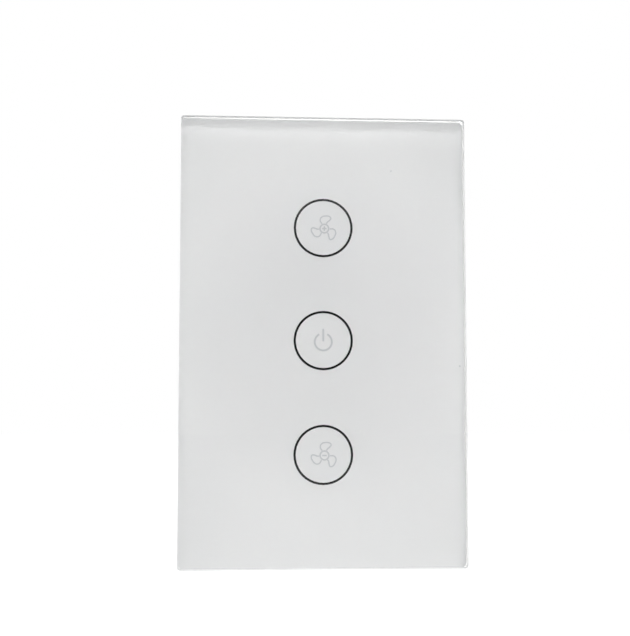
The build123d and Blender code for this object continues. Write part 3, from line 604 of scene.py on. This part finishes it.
# %% Cases of the parts inside
# Black polyester, polyamide and epoxy: three blacks that differ in their shine.
moulded("black polyester", ("#141517", "#1E1F22"), (0.24, 0.38), (6, 0.20, 0.004), {"IOR": 1.57},
        "speed_relay_low", "speed_relay_medium", "speed_relay_high")
moulded("black polyamide", ("#18191B", "#242528"), (0.40, 0.55), (3, 0.20, 0.006), {"IOR": 1.53},
        "pin_header", "header_socket")
chip_epoxy = moulded("black moulding epoxy", ("#191A1C", "#26272A"), (0.50, 0.66), (1.2, 0.08, 0.005),
                     {"IOR": 1.55}, "touch_controller", "bridge_rectifier")
# Brown thermoset: the dull dark brown of a fuse body.
moulded("brown thermoset", ("#3B2721", "#4C352C"), (0.40, 0.55), (2, 0.20, 0.006), {"IOR": 1.55},
        "mains_fuse")
# Yellow polypropylene: the warm waxy yellow of run capacitors.
moulded("yellow polypropylene", ("#D29C22", "#DFAE3A"), (0.30, 0.44), (6, 0.25, 0.006), {"IOR": 1.49},
        "run_capacitor_a", "run_capacitor_b")
# Blue dipped epoxy: thick and glossy, with a skin that is slightly wavy.
moulded("blue dipped epoxy", ("#1E3F9B", "#2A52B6"), (0.18, 0.30), (2, 1.2, 0.06),
        {"IOR": 1.55, "Coat Weight": 0.3, "Coat Roughness": 0.1}, "surge_varistor")
# Ground ferrite: almost black and dry, with a sintered grain.
moulded("ground ferrite", ("#2A2B2D", "#3B3B3D"), (0.66, 0.84), (0.8, 0.25, 0.02), {"IOR": 2.0},
        "transformer_core")

# %% [markdown]
# ## Wound and sleeved parts
# The transformer's winding is wrapped in yellow polyester tape through which the turns of wire show as fine
# ribs. The electrolytic cans wear a dark shrink sleeve with a pale stripe down the side of the negative
# lead. A wave makes the ribs, and a step across the height makes the stripe.

# %% Wound and sleeved parts
TURN, RIB = 1.6 * MM, 0.05 * MM
STRIPE, SLEEVE_PATCH = 0.9 * MM, 3 * MM


def banded(name, constants, axis, limit, below, grain, above, *nodes):
    """A stuff with a step across one axis, given to parts: two tones in a grain below it, one tone above."""
    finish, add, shader, spot = new_finish(name, constants)
    place = add("ShaderNodeSeparateXYZ", {0: spot}).outputs[axis]
    step = add("ShaderNodeMath", {"operation": "LESS_THAN", 1: limit, 0: place})
    shade = add("ShaderNodeTexNoise", {"Scale": 1 / grain, "Vector": spot})
    mixed = add("ShaderNodeMixRGB", {"Color1": below[0], "Color2": below[1], "Fac": shade})
    tone = add("ShaderNodeMixRGB", {"Color1": above, "Color2": mixed, "Fac": step})
    dress(shader, {"Base Color": tone})
    return give(finish, nodes)


# Polyester tape: a glossy amber skin that takes on the ribs of the wire.
tape, add, shader, spot = new_finish("yellow polyester tape", {
    "IOR": 1.64, "Roughness": 0.28, "Coat Weight": 0.2})
turns = add("ShaderNodeTexWave", {
    "bands_direction": "Y", "Scale": 1 / TURN, "Distortion": 0.3, "Vector": spot}).outputs["Fac"]
tone = add("ShaderNodeMixRGB", {"Color1": "#C9A02C", "Color2": "#E2C054", "Fac": turns})
ribs = add("ShaderNodeBump", {"Distance": RIB, "Height": turns})
dress(shader, {"Base Color": tone, "Normal": ribs})
give(tape, ["transformer_coil"])

# Shrink sleeve: a smooth navy skin with a grey stripe.
can_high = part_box("bulk_capacitor")[1]
banded("shrink sleeve", {"IOR": 1.54, "Roughness": 0.25}, "Z", can_high.z - STRIPE, ("#151A2C", "#20273F"),
       SLEEVE_PATCH, "#B9BDC6", "bulk_capacitor", "output_capacitor")

# %% [markdown]
# ## The indicator lamps
# Each key has a small white lamp body with a yellowish lens on top, which is the phosphor that makes white
# light. Body and lens are one part, so a step across its depth tells them apart.

# %% The indicator lamps
PHOSPHOR_SPECK, LENS_SET = 0.15 * MM, 0.01 * MM
lamp_low, lamp_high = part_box("indicator_led_power")
lens_foot = (lamp_low.y + lamp_high.y) / 2 - LENS_SET
# White lamp body with a phosphor lens: a satin white ring round a grainy yellow spot.
banded("lamp body and phosphor", {"IOR": 1.5, "Roughness": 0.3}, "Y", lens_foot, ("#D8C24A", "#EAD877"),
       PHOSPHOR_SPECK, "#EDEDE6", "indicator_led_faster", "indicator_led_power", "indicator_led_slower")

# %% [markdown]
# ## Circuit boards
# A board is glass-fibre laminate under a coloured solder mask. Boards that feel a finger have a hatched
# earth plane, fine copper lines that cross on the slant and lift the colour of the mask. A brick pattern
# with no offset is such a grid once it is turned. The sawn edges show the bare straw-coloured laminate.

# %% Circuit boards
HATCH, HATCH_LINE, HATCH_RISE = 1.3 * MM, 0.11 * MM, 0.03 * MM
FIBRE = 0.3 * MM


def laminate(name, mask, copper, *nodes):
    """A printed board, given to parts: a mask over a paler hatch, and bare laminate at the edges."""
    finish, add, shader, spot = new_finish(name, {"IOR": 1.5, "Roughness": 0.34})
    upright = add("ShaderNodeMapping", {"Rotation": (-pi / 2, 0.0, 0.0), "Vector": spot})
    slanted = add("ShaderNodeMapping", {"Rotation": (0.0, 0.0, pi / 4), "Vector": upright})
    hatch = add("ShaderNodeTexBrick", {
        "offset": 0.0, "Scale": 1.0, "Brick Width": HATCH, "Row Height": HATCH, "Mortar Size": HATCH_LINE,
        "Mortar Smooth": 0.2, "Color1": mask[0], "Color2": mask[1], "Mortar": copper, "Vector": slanted})
    faced = add("ShaderNodeNewGeometry", {}).outputs["Normal"]
    flat = add("ShaderNodeSeparateXYZ", {0: faced}).outputs["Y"]
    for operation, number in (("ABSOLUTE", 0.0), ("GREATER_THAN", 0.5)):
        flat = add("ShaderNodeMath", {"operation": operation, 1: number, 0: flat})
    fibre = add("ShaderNodeTexNoise", {"Scale": 1 / FIBRE, "Vector": spot})
    sawn = add("ShaderNodeMixRGB", {"Color1": "#A99B5C", "Color2": "#C9BD84", "Fac": fibre})
    tone = add("ShaderNodeMixRGB", {"Fac": flat, "Color1": sawn, "Color2": hatch})
    relief = add("ShaderNodeBump", {"Distance": HATCH_RISE, "Height": hatch.outputs["Fac"]})
    dress(shader, {"Base Color": tone, "Normal": relief})
    return give(finish, nodes)


# Green and blue masks: dark, smooth and a little glossy, with the copper just showing.
laminate("laminate with green mask", ("#0D4227", "#0E472A"), "#145535", "touch_board", "power_board")
laminate("laminate with blue mask", ("#0B1B3A", "#0D2042"), "#13294E", "radio_module")

# %% [markdown]
# ## Metals
# The metals are all plated: tin on the shield can, nickel on the touch springs, tin over brass on the
# contact bars and zinc on the clamps and screws. Plating follows the drawing marks of the metal under it,
# so the shine runs in fine streaks.

# %% Metals
DRAWN = (1.0, 0.15, 1.0)


def plated(name, tones, rough, streak, *nodes):
    """A plated metal, given to parts: two close tones in fine streaks, and a shine that varies."""
    finish, add, shader, spot = new_finish(name, {"Metallic": 1.0})
    drawn = add("ShaderNodeMapping", {"Scale": DRAWN, "Vector": spot})
    marks = add("ShaderNodeTexNoise", {"Scale": 1 / streak, "Detail": 3.0, "Vector": drawn})
    tone = add("ShaderNodeMixRGB", {"Color1": tones[0], "Color2": tones[1], "Fac": marks})
    shine = add("ShaderNodeMapRange", {"To Min": rough[0], "To Max": rough[1], "Value": marks})
    dress(shader, {"Base Color": tone, "Roughness": shine})
    return give(finish, nodes)


# Tin: a soft grey-white shine.
tin = plated("tin-plated steel", ("#B9BABA", "#CFCFCE"), (0.26, 0.42), 0.3 * MM, "radio_shield")
# Nickel: a slightly warm, brighter shine.
nickel = plated("nickel-plated spring wire", ("#C2BDB3", "#D6D2CA"), (0.18, 0.30), 0.2 * MM)
# Tinned brass: pale, with the yellow of the brass just showing.
plated("tinned brass", ("#BFB184", "#D3C8A2"), (0.24, 0.40), 0.3 * MM,
       "contact_bar_line", "contact_bar_neutral", "contact_bar_fan")
# Zinc: cool grey with a bluish passivation.
zinc = plated("zinc-plated steel", ("#A9AFB6", "#C3C8CC"), (0.30, 0.46), 0.25 * MM,
              "clamp_cage_line", "clamp_cage_neutral", "clamp_cage_fan")
# Solder and gold: a bright wet grey on the joints and a warm yellow on the pads of the boards.
solder = plated("tin solder", ("#A8ABAD", "#C6C8C8"), (0.18, 0.34), 0.4 * MM)
gold = plated("gold-flashed copper", ("#C79A45", "#DDB666"), (0.22, 0.36), 0.3 * MM)

# %% [markdown]
# ## Touch springs
# Under each key a spring of round wire stands on the board and presses against the back of the print: it is
# the electrode that feels the finger. The CAD model has it in square wire. Here a round section is turned
# three times about the key's axis while it rises, and a straight tail goes down through the board.

# %% Touch springs
WIRE, WIRE_SIDES = 0.6 * MM, 8
COIL_FOOT, COIL_STEPS, COIL_ANGLE = -3.4 * MM, 72, 6 * pi
FACE_FRONT = Matrix.Rotation(pi / 2, 4, "X")


def at_depth(point, depth):
    """A point carried to another depth."""
    return Vector((point.x, depth, point.z))


def add_rod(bm, centre, radius, depth, sides):
    """A round rod along the depth of the switch."""
    bmesh.ops.create_cone(bm, cap_ends=True, segments=sides, radius1=radius, radius2=radius, depth=depth,
                          matrix=Matrix.Translation(centre) @ FACE_FRONT)


for key in ("faster", "power", "slower"):
    low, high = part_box(f"touch_spring_{key}")
    axis = Vector((0, COIL_FOOT, (low.z + high.z) / 2))
    wire = axis + Vector(((high.x - low.x) / 2 - WIRE / 2, 0, 0))
    rise = (low.y + WIRE / 2 - COIL_FOOT) / COIL_STEPS
    bm = bmesh.new()
    section = bmesh.ops.create_circle(bm, segments=WIRE_SIDES, radius=WIRE / 2,
                                      matrix=Matrix.Translation(wire))["verts"]
    turn(bm, section, axis, (0, -1, 0), COIL_ANGLE, COIL_STEPS, (0, rise, 0))
    add_rod(bm, at_depth(wire, (COIL_FOOT + high.y) / 2), WIRE / 2, high.y - COIL_FOOT, WIRE_SIDES)
    spring = new_piece(f"coil_spring_{key}", bm, "base", nickel)
    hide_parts(f"touch_spring_{key}")

# %% [markdown]
# ## Tracks on the touch board
# With the panel pulled off, the front of the touch board shows. Copper tracks under the mask lead from the
# springs to the touch chip and from the radio to both the chip and the pins. A track is a run of thin flat
# bars, with a disc at every turn to round the joint.

# %% Tracks on the touch board
TRACK_RISE, JOINT_RISE, JOINT_SIDES = 0.035 * MM, 1.1, 12
KEY = 29.8
FINE, BROAD = 0.35, 0.80
TRACKS = [  # width, then the places right and up that it passes, all in millimetres
    (FINE, [(2.7, 0.0), (2.7, -9.5), (3.18, -10.0), (3.18, -12.3)]),
    (FINE, [(2.7, -KEY), (2.7, -20.5), (3.18, -20.0), (3.18, -17.5)]),
    (FINE, [(2.7, KEY), (6.5, KEY), (15.5, 20.8), (15.5, -6.0), (11.0, -10.5), (5.0, -10.5), (4.45, -11.0),
            (4.45, -12.3)]),
    (FINE, [(-4.5, 9.3), (-4.5, -12.3)]),
    (FINE, [(-6.0, 9.3), (-6.0, -18.5), (-5.5, -19.0), (-4.9, -19.0), (-4.45, -18.5), (-4.45, -17.6)]),
    (FINE, [(-7.5, 9.3), (-7.5, -20.0), (-6.9, -20.6), (-3.8, -20.6), (-3.18, -20.0), (-3.18, -17.6)]),
    (FINE, [(11.6, 13.0), (10.6, 12.0), (10.6, 8.2), (9.6, 7.2), (8.1, 7.2), (7.5, 7.8), (7.5, 9.3)]),
    (FINE, [(4.45, -17.6), (4.45, -18.6), (5.0, -19.1), (7.0, -19.1), (7.9, -18.2), (7.9, -16.9),
            (8.4, -16.4)]),
    (BROAD, [(-3.81, 28.62), (-8.0, 28.62), (-14.6, 22.0), (-14.6, -13.5), (-14.1, -13.5)]),
    (BROAD, [(-14.6, 17.0), (-13.4, 17.0)]),
    (BROAD, [(-14.6, 12.5), (-13.4, 12.5)]),
]
for level in (KEY, 0.0, -KEY):
    TRACKS.append((FINE, [(-1.3, level), (-10.2, level)]))
    TRACKS.append((FINE, [(10.2, level + 1.2), (2.2, level + 1.2), (1.3, level + 0.3)]))
for side in (-1, 1):
    for pad, pin in ((4.5, 3.81), (1.5, 1.27)):
        bends = [(pad, 20.6), (pad, 22.8), (pin, 23.6), (pin, 26.08)]
        TRACKS.append((FINE, [(side * right, up) for right, up in bends]))


def draw_track(bm, width, stops, level):
    """A flat copper track with round joints, through points given right and up in millimetres."""
    points = [Vector((right * MM, level, up * MM)) for right, up in stops]
    for start, end in zip(points, points[1:]):
        run = end - start
        slant = Matrix.Rotation(Vector((1, 0)).angle_signed(Vector((run.x, run.z))), 4, "Y")
        shape = Matrix.Diagonal((run.length, TRACK_RISE, width, 1))
        bmesh.ops.create_cube(bm, size=1.0, matrix=Matrix.Translation((start + end) / 2) @ slant @ shape)
    for point in points:
        add_rod(bm, point, width / 2, TRACK_RISE * JOINT_RISE, JOINT_SIDES)


board_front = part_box("touch_board")[0].y
bm = bmesh.new()
for width, stops in TRACKS:
    draw_track(bm, width * MM, stops, board_front)
# Solder mask over solid copper: the mask's green, paler and smoother than beside the track.
masked_copper = moulded("solder mask over copper", ("#1C6840", "#24774B"), (0.26, 0.36), (3, 0.2, 0.002),
                        {"IOR": 1.5})
new_piece("board_tracks", bm, "base", masked_copper)

# %% [markdown]
# ## Component print
# A white component print frames the chip, the radio and the keys, and marks both ends of every small part.
# The tools that drew the key symbols draw it too.

# %% Component print
SILK, SILK_LINE = board_front - 0.05 * MM, 0.22 * MM
KEY_FRAME = 4.4 * MM
FRAMES = [(-5.7, 5.7, -18.6, -11.2), (-9.5, 9.5, 8.4, 21.4)]  # left, right, down, up
RESISTORS = [(11.0, 31.0), (11.0, 28.6), (11.0, 1.2), (11.0, -1.2), (11.0, -28.6), (11.0, -31.0),
             (12.5, 16.5), (12.5, 13.0), (-13.0, -13.5), (-13.0, -16.5)]
CAPACITORS = [(-11.0, KEY), (-11.0, 0.0), (-11.0, -KEY), (-12.5, 17.0), (-12.5, 12.5), (9.5, -13.4),
              (9.5, -16.4)]
MARK, MARK_LINE, MARK_OFF = 1.5 * MM, SILK_LINE * 0.8, 0.95
bm = bmesh.new()
for level in (pitch, 0.0, -pitch):
    draw_arc(bm, Vector((0, SILK, level)), KEY_FRAME, SILK_LINE, 0, 2 * pi)
for left, right, down, up in FRAMES:
    middle = Vector(((left + right) / 2 * MM, SILK, (down + up) / 2 * MM))
    wide, tall = (right - left) * MM, (up - down) * MM
    for side in (-1, 1):
        draw_bar(bm, middle + Vector((0, 0, side * tall / 2)), wide + SILK_LINE, SILK_LINE)
        draw_bar(bm, middle + Vector((side * wide / 2, 0, 0)), SILK_LINE, tall + SILK_LINE)
for right, up in RESISTORS + CAPACITORS:
    for side in (-1, 1):
        draw_bar(bm, Vector((right * MM, SILK, (up + side * MARK_OFF) * MM)), MARK, MARK_LINE)
# White legend ink: a dull opaque white, a little rough.
legend_ink = moulded("white legend ink", ("#D9DAD6", "#E8E8E4"), (0.55, 0.70), (1.5, 0.15, 0.003),
                     {"IOR": 1.5})
new_piece("component_print", bm, "base", legend_ink)

# %% [markdown]
# ## Feet of the touch chip
# The touch chip stands on sixteen bent feet of tinned sheet. One edge is drawn out along the bends of a
# foot, and the ribbon that this leaves is given its thickness.

# %% Feet of the touch chip
FEET, FOOT_PITCH, FOOT_WIDTH, FOOT_SHEET = 8, 1.27 * MM, 0.42 * MM, 0.12 * MM
FOOT = [(0.75, -0.1), (0.75, 0.4), (0.1, 0.6), (0.1, 1.1)]  # above the board and out from the chip


def verts_of(made):
    """The corners among what an operator made."""
    return [g for g in made["geom"] if isinstance(g, bmesh.types.BMVert)]


def add_strip(bm, across, width, stops, thickness):
    """A flat strip of metal bent through stops in the plane of depth and height, at one place across."""
    edge = bm.edges.new([bm.verts.new((across + side * width / 2, *stops[0])) for side in (-1, 1)])
    faces = []
    for (y0, z0), (y1, z1) in zip(stops, stops[1:]):
        ends = verts_of(bmesh.ops.extrude_edge_only(bm, edges=[edge]))
        bmesh.ops.translate(bm, verts=ends, vec=(0, y1 - y0, z1 - z0))
        edge = bm.edges.get(ends)
        faces += edge.link_faces
    bmesh.ops.solidify(bm, geom=faces, thickness=thickness)


low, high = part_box("touch_controller")
bm = bmesh.new()
for side, wall in ((1, high.z), (-1, low.z)):
    stops = [(board_front - above * MM, wall + side * out * MM) for above, out in FOOT]
    for place in range(FEET):
        add_strip(bm, (place - (FEET - 1) / 2) * FOOT_PITCH, FOOT_WIDTH, stops, side * FOOT_SHEET)
new_piece("touch_chip_feet", bm, "base", tin)

# %% [markdown]
# ## Pads and aerial of the radio module
# The radio module has gold pads along two edges, which fold over them, and a folded aerial beside its
# shield. All are thin slabs, and the aerial is six bars joined by turn at one end and at the other.

# %% Pads and aerial of the radio module
FOIL, FOIL_EDGE = 0.04 * MM, 0.01 * MM
PADS, PAD_PITCH, PAD_HALF, PAD_REACH = 11, 1.5 * MM, 0.4 * MM, 0.7 * MM
BARS, BAR_FIRST, BAR_STEP, BAR_HALF, BAR_INSET = 6, 4.2 * MM, 0.8 * MM, 0.2 * MM, 1.6 * MM
BEND_RISE = 1.2


def add_slab(bm, low, high, edge):
    """A block between two corners, with its edges softened."""
    low, high = Vector(low), Vector(high)
    at = Matrix.Translation((low + high) / 2) @ Matrix.Diagonal((high - low).to_4d())
    soften(bm, edges_of(bmesh.ops.create_cube(bm, size=1.0, matrix=at)["verts"]), edge, 1)


low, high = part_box("radio_module")
bm = bmesh.new()
for wall, outward in ((high.z, 1), (low.z, -1)):
    inner, outer = sorted((wall - outward * PAD_REACH, wall + outward * FOIL))
    for place in range(PADS):
        across = (place - (PADS - 1) / 2) * PAD_PITCH
        add_slab(bm, (across - PAD_HALF, low.y - FOIL, inner), (across + PAD_HALF, high.y, outer), FOIL_EDGE)
ends = (high.z - BAR_INSET, low.z + BAR_INSET)
for bar in range(BARS):
    left, right = (BAR_FIRST + bar * BAR_STEP + side * BAR_HALF for side in (-1, 1))
    add_slab(bm, (left, low.y - FOIL, ends[1]), (right, low.y + FOIL, ends[0]), FOIL_EDGE)
    if bar < BARS - 1:
        end = ends[bar % 2]
        add_slab(bm, (left, low.y - FOIL * BEND_RISE, end - BAR_HALF),
                 (right + BAR_STEP, low.y + FOIL, end + BAR_HALF), FOIL_EDGE)
new_piece("radio_pads_and_aerial", bm, "base", gold)

# %% [markdown]
# ## Solder beads
# The pins and the springs sit in beads of solder, cones round the tails of the springs and low domes on the
# pins.

# %% Solder beads
TAIL, TAIL_RISE = 2.7 * MM, 0.22 * MM
CONE_FOOT, CONE_TOP, CONE_TALL, CONE_SIDES = 0.85 * MM, 0.36 * MM, 0.5 * MM, 16
PINS, PIN_PITCH, PIN_LEVEL, PIN_RISE = 4, 2.54 * MM, 27.35 * MM, 0.18 * MM
DOME, DOME_FLAT = 0.6 * MM, Matrix.Diagonal((1, 0.55, 1, 1))
bm = bmesh.new()
for level in (pitch, 0.0, -pitch):
    at = Matrix.Translation((TAIL, board_front - TAIL_RISE, level)) @ FACE_FRONT
    bmesh.ops.create_cone(bm, cap_ends=True, segments=CONE_SIDES, radius1=CONE_FOOT, radius2=CONE_TOP,
                          depth=CONE_TALL, matrix=at)
for column in range(PINS):
    for row in (-1, 1):
        across, up = (column - (PINS - 1) / 2) * PIN_PITCH, PIN_LEVEL + row * PIN_PITCH / 2
        at = Matrix.Translation((across, board_front - PIN_RISE, up)) @ DOME_FLAT
        bmesh.ops.create_uvsphere(bm, u_segments=12, v_segments=8, radius=DOME, matrix=at)
new_piece("solder_beads", bm, "base", solder)

# %% [markdown]
# ## Chip resistors and capacitors
# Chip resistors and capacitors lie round the keys: low black blocks and taller tan ones, each with a bright
# soldered cap on both ends that stands a little proud.

# %% Chip resistors and capacitors
RESISTOR_RISE, CAPACITOR_RISE = 0.5, 0.9
CHIP_X, CHIP_Z, CHIP_EDGE = 0.65, 0.62, 0.04 * MM
CAP_FROM, CAP_TO, CAP_Z, CAP_PROUD, CAP_EDGE = 0.6, 1.0, 0.65, 0.03 * MM, 0.05 * MM
resistors, ceramics, caps = bmesh.new(), bmesh.new(), bmesh.new()
for places, body, rise in ((RESISTORS, resistors, RESISTOR_RISE), (CAPACITORS, ceramics, CAPACITOR_RISE)):
    near = board_front - rise * MM
    for right, up in places:
        add_slab(body, ((right - CHIP_X) * MM, near, (up - CHIP_Z) * MM),
                 ((right + CHIP_X) * MM, board_front, (up + CHIP_Z) * MM), CHIP_EDGE)
        for side in (-1, 1):
            inner, outer = sorted((right + side * CAP_FROM, right + side * CAP_TO))
            add_slab(caps, (inner * MM, near - CAP_PROUD, (up - CAP_Z) * MM),
                     (outer * MM, board_front, (up + CAP_Z) * MM), CAP_EDGE)
new_piece("chip_resistors", resistors, "base", chip_epoxy)
new_piece("chip_ends", caps, "base", solder)
# Barium titanate: the dull tan of the ceramic in small capacitors.
tan_ceramic = moulded("tan ceramic", ("#8E7454", "#A58A66"), (0.45, 0.60), (0.4, 0.1, 0.004), {"IOR": 1.7})
new_piece("chip_capacitors", ceramics, "base", tan_ceramic)

# %% [markdown]
# ## Tools for the screws
# A real screw has a rolled thread: here it is a small triangle turned about the axis while it climbs,
# right-handed like any common screw. Heads start as a flat disc that is cut and drawn out.

# %% Tools for the screws
PITCH, RIDGE, RIDGE_STEPS = 0.6 * MM, 0.3 * MM, 18
THREAD_TIP, THREAD_NECK = 0.3 * MM, 0.4 * MM
HEAD_SIDES = 40


def add_shank(bm, axis_point, root, sides, crest, tip, seat):
    """A round shank between two depths, with a right-hand thread whose crest is at a given radius."""
    add_rod(bm, at_depth(axis_point, (tip + seat) / 2), root, seat - tip, sides)
    start, stop = tip + THREAD_TIP, seat - THREAD_NECK
    turns = (stop - start) / PITCH
    steps = round(turns * RIDGE_STEPS)
    at = Matrix.Translation(axis_point + Vector((crest - RIDGE, start - axis_point.y, 0)))
    section = bmesh.ops.create_circle(bm, segments=3, radius=RIDGE, matrix=at)["verts"]
    turn(bm, section, axis_point, (0, 1, 0), turns * 2 * pi, steps, (0, (stop - start) / steps, 0))


def new_disc(centre, radius):
    """A round flat face, in a bmesh of its own."""
    disc = bmesh.new()
    bmesh.ops.create_circle(disc, cap_ends=True, segments=HEAD_SIDES, radius=radius,
                            matrix=Matrix.Translation(centre) @ FACE_FRONT)
    return disc


def join(bm, part):
    """Adds a finished part to a piece."""
    mesh = bpy.data.meshes.new("part")
    part.to_mesh(mesh)
    part.free()
    bm.from_mesh(mesh)
    bpy.data.meshes.remove(mesh)


print("threads climb", round(PITCH * 1000, 2), "mm a turn")

# %% [markdown]
# ## Clamp screws
# Three slotted screws look out of the rear of the terminals. The head is a disc with two round segments
# left standing beside the slot. Its rims are softened before the shank is added, so that only they are
# caught.

# %% Clamp screws
SLOT, SLOT_DEPTH, HEAD_TALL, HEAD_EDGE = 0.9 * MM, 0.9 * MM, 1.8 * MM, 0.12 * MM
SHANK, SHANK_SIDES, CREST = 1.42 * MM, 24, 1.7 * MM


def add_segment(bm, centre, radius, side, rise):
    """The part of a round head that stands on one side of its slot."""
    disc = new_disc(centre, radius)
    bmesh.ops.bisect_plane(disc, geom=all_of(disc), plane_co=centre + Vector((side * SLOT / 2, 0, 0)),
                           plane_no=(-side, 0, 0), clear_outer=True)
    top = verts_of(bmesh.ops.extrude_face_region(disc, geom=disc.faces[:], use_keep_orig=True))
    bmesh.ops.translate(disc, verts=top, vec=(0, rise, 0))
    join(bm, disc)


for pole in ("line", "neutral", "fan"):
    low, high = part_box(f"clamp_screw_{pole}")
    axis_point = (low + high) / 2
    radius = (high.x - low.x) / 2
    seat, slot_floor = high.y - HEAD_TALL, high.y - SLOT_DEPTH
    bm = bmesh.new()
    add_rod(bm, at_depth(axis_point, (seat + slot_floor) / 2), radius, slot_floor - seat, HEAD_SIDES)
    for side in (-1, 1):
        add_segment(bm, at_depth(axis_point, slot_floor), radius, side, high.y - slot_floor)
    soften(bm, rim(bm, high.y), HEAD_EDGE, 2)
    add_shank(bm, axis_point, SHANK, SHANK_SIDES, CREST, low.y, seat)
    screw = new_piece(f"slotted_screw_{pole}", bm, f"screw_{pole}", zinc)
    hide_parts(f"clamp_screw_{pole}")

# %% [markdown]
# ## Housing screws
# Two cross-head screws at the bottom of deep wells hold the housing to the yoke. Their heads are flat discs
# with a tapering cross pressed into them: the disc is cut along the sides of the cross, and the faces
# inside it sink.

# %% Housing screws
CROSS_HEAD, CROSS_TALL = 2.1 * MM, 1.6 * MM
ARM, HALF, CROSS_DEPTH, TAPER = 1.25 * MM, 0.36 * MM, 0.9 * MM, 0.7
PIN_SHANK, PIN_SIDES, PIN_CREST = 0.85 * MM, 20, 1.1 * MM


def add_cross_head(bm, centre):
    """A flat round head with a tapering cross sunk into it."""
    disc = new_disc(centre, CROSS_HEAD)
    for way in (Vector((1, 0, 0)), Vector((0, 0, 1))):
        for cut in (-ARM, -HALF, HALF, ARM):
            bmesh.ops.bisect_plane(disc, geom=all_of(disc), plane_co=centre + way * cut, plane_no=way)
    cross = []
    for face in disc.faces:
        away = face.calc_center_median() - centre
        near, far = sorted((abs(away.x), abs(away.z)))
        if near < HALF and far < ARM:
            cross.append(face)
    outline = [e for e in disc.edges if e.is_boundary]
    floor = verts_of(bmesh.ops.extrude_face_region(disc, geom=cross))
    bmesh.ops.delete(disc, geom=cross, context="FACES")
    bmesh.ops.translate(disc, verts=floor, vec=(0, -CROSS_DEPTH, 0))
    bmesh.ops.scale(disc, verts=floor, vec=(TAPER, 1, TAPER), space=Matrix.Translation(-centre))
    skirt = verts_of(bmesh.ops.extrude_edge_only(disc, edges=outline))
    bmesh.ops.translate(disc, verts=skirt, vec=(0, -CROSS_TALL, 0))
    bmesh.ops.holes_fill(disc, edges=[e for e in disc.edges if e.is_boundary])
    join(bm, disc)


low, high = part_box("housing_screws")
bm = bmesh.new()
for right, up in ((low.x + CROSS_HEAD, high.z - CROSS_HEAD), (high.x - CROSS_HEAD, low.z + CROSS_HEAD)):
    centre = Vector((right, high.y, up))
    add_cross_head(bm, centre)
    add_shank(bm, centre, PIN_SHANK, PIN_SIDES, PIN_CREST, low.y, high.y - CROSS_TALL)
screws = new_piece("cross_head_screws", bm, "base", zinc)
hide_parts("housing_screws")

# %% [markdown]
# ## Sizes
# The size of the CAD model and of the finished model are kept side by side.

# %% Sizes and finish
low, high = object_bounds()
print("finished box", [round((b - a) * 1000, 2) for a, b in zip(low, high)], "mm")
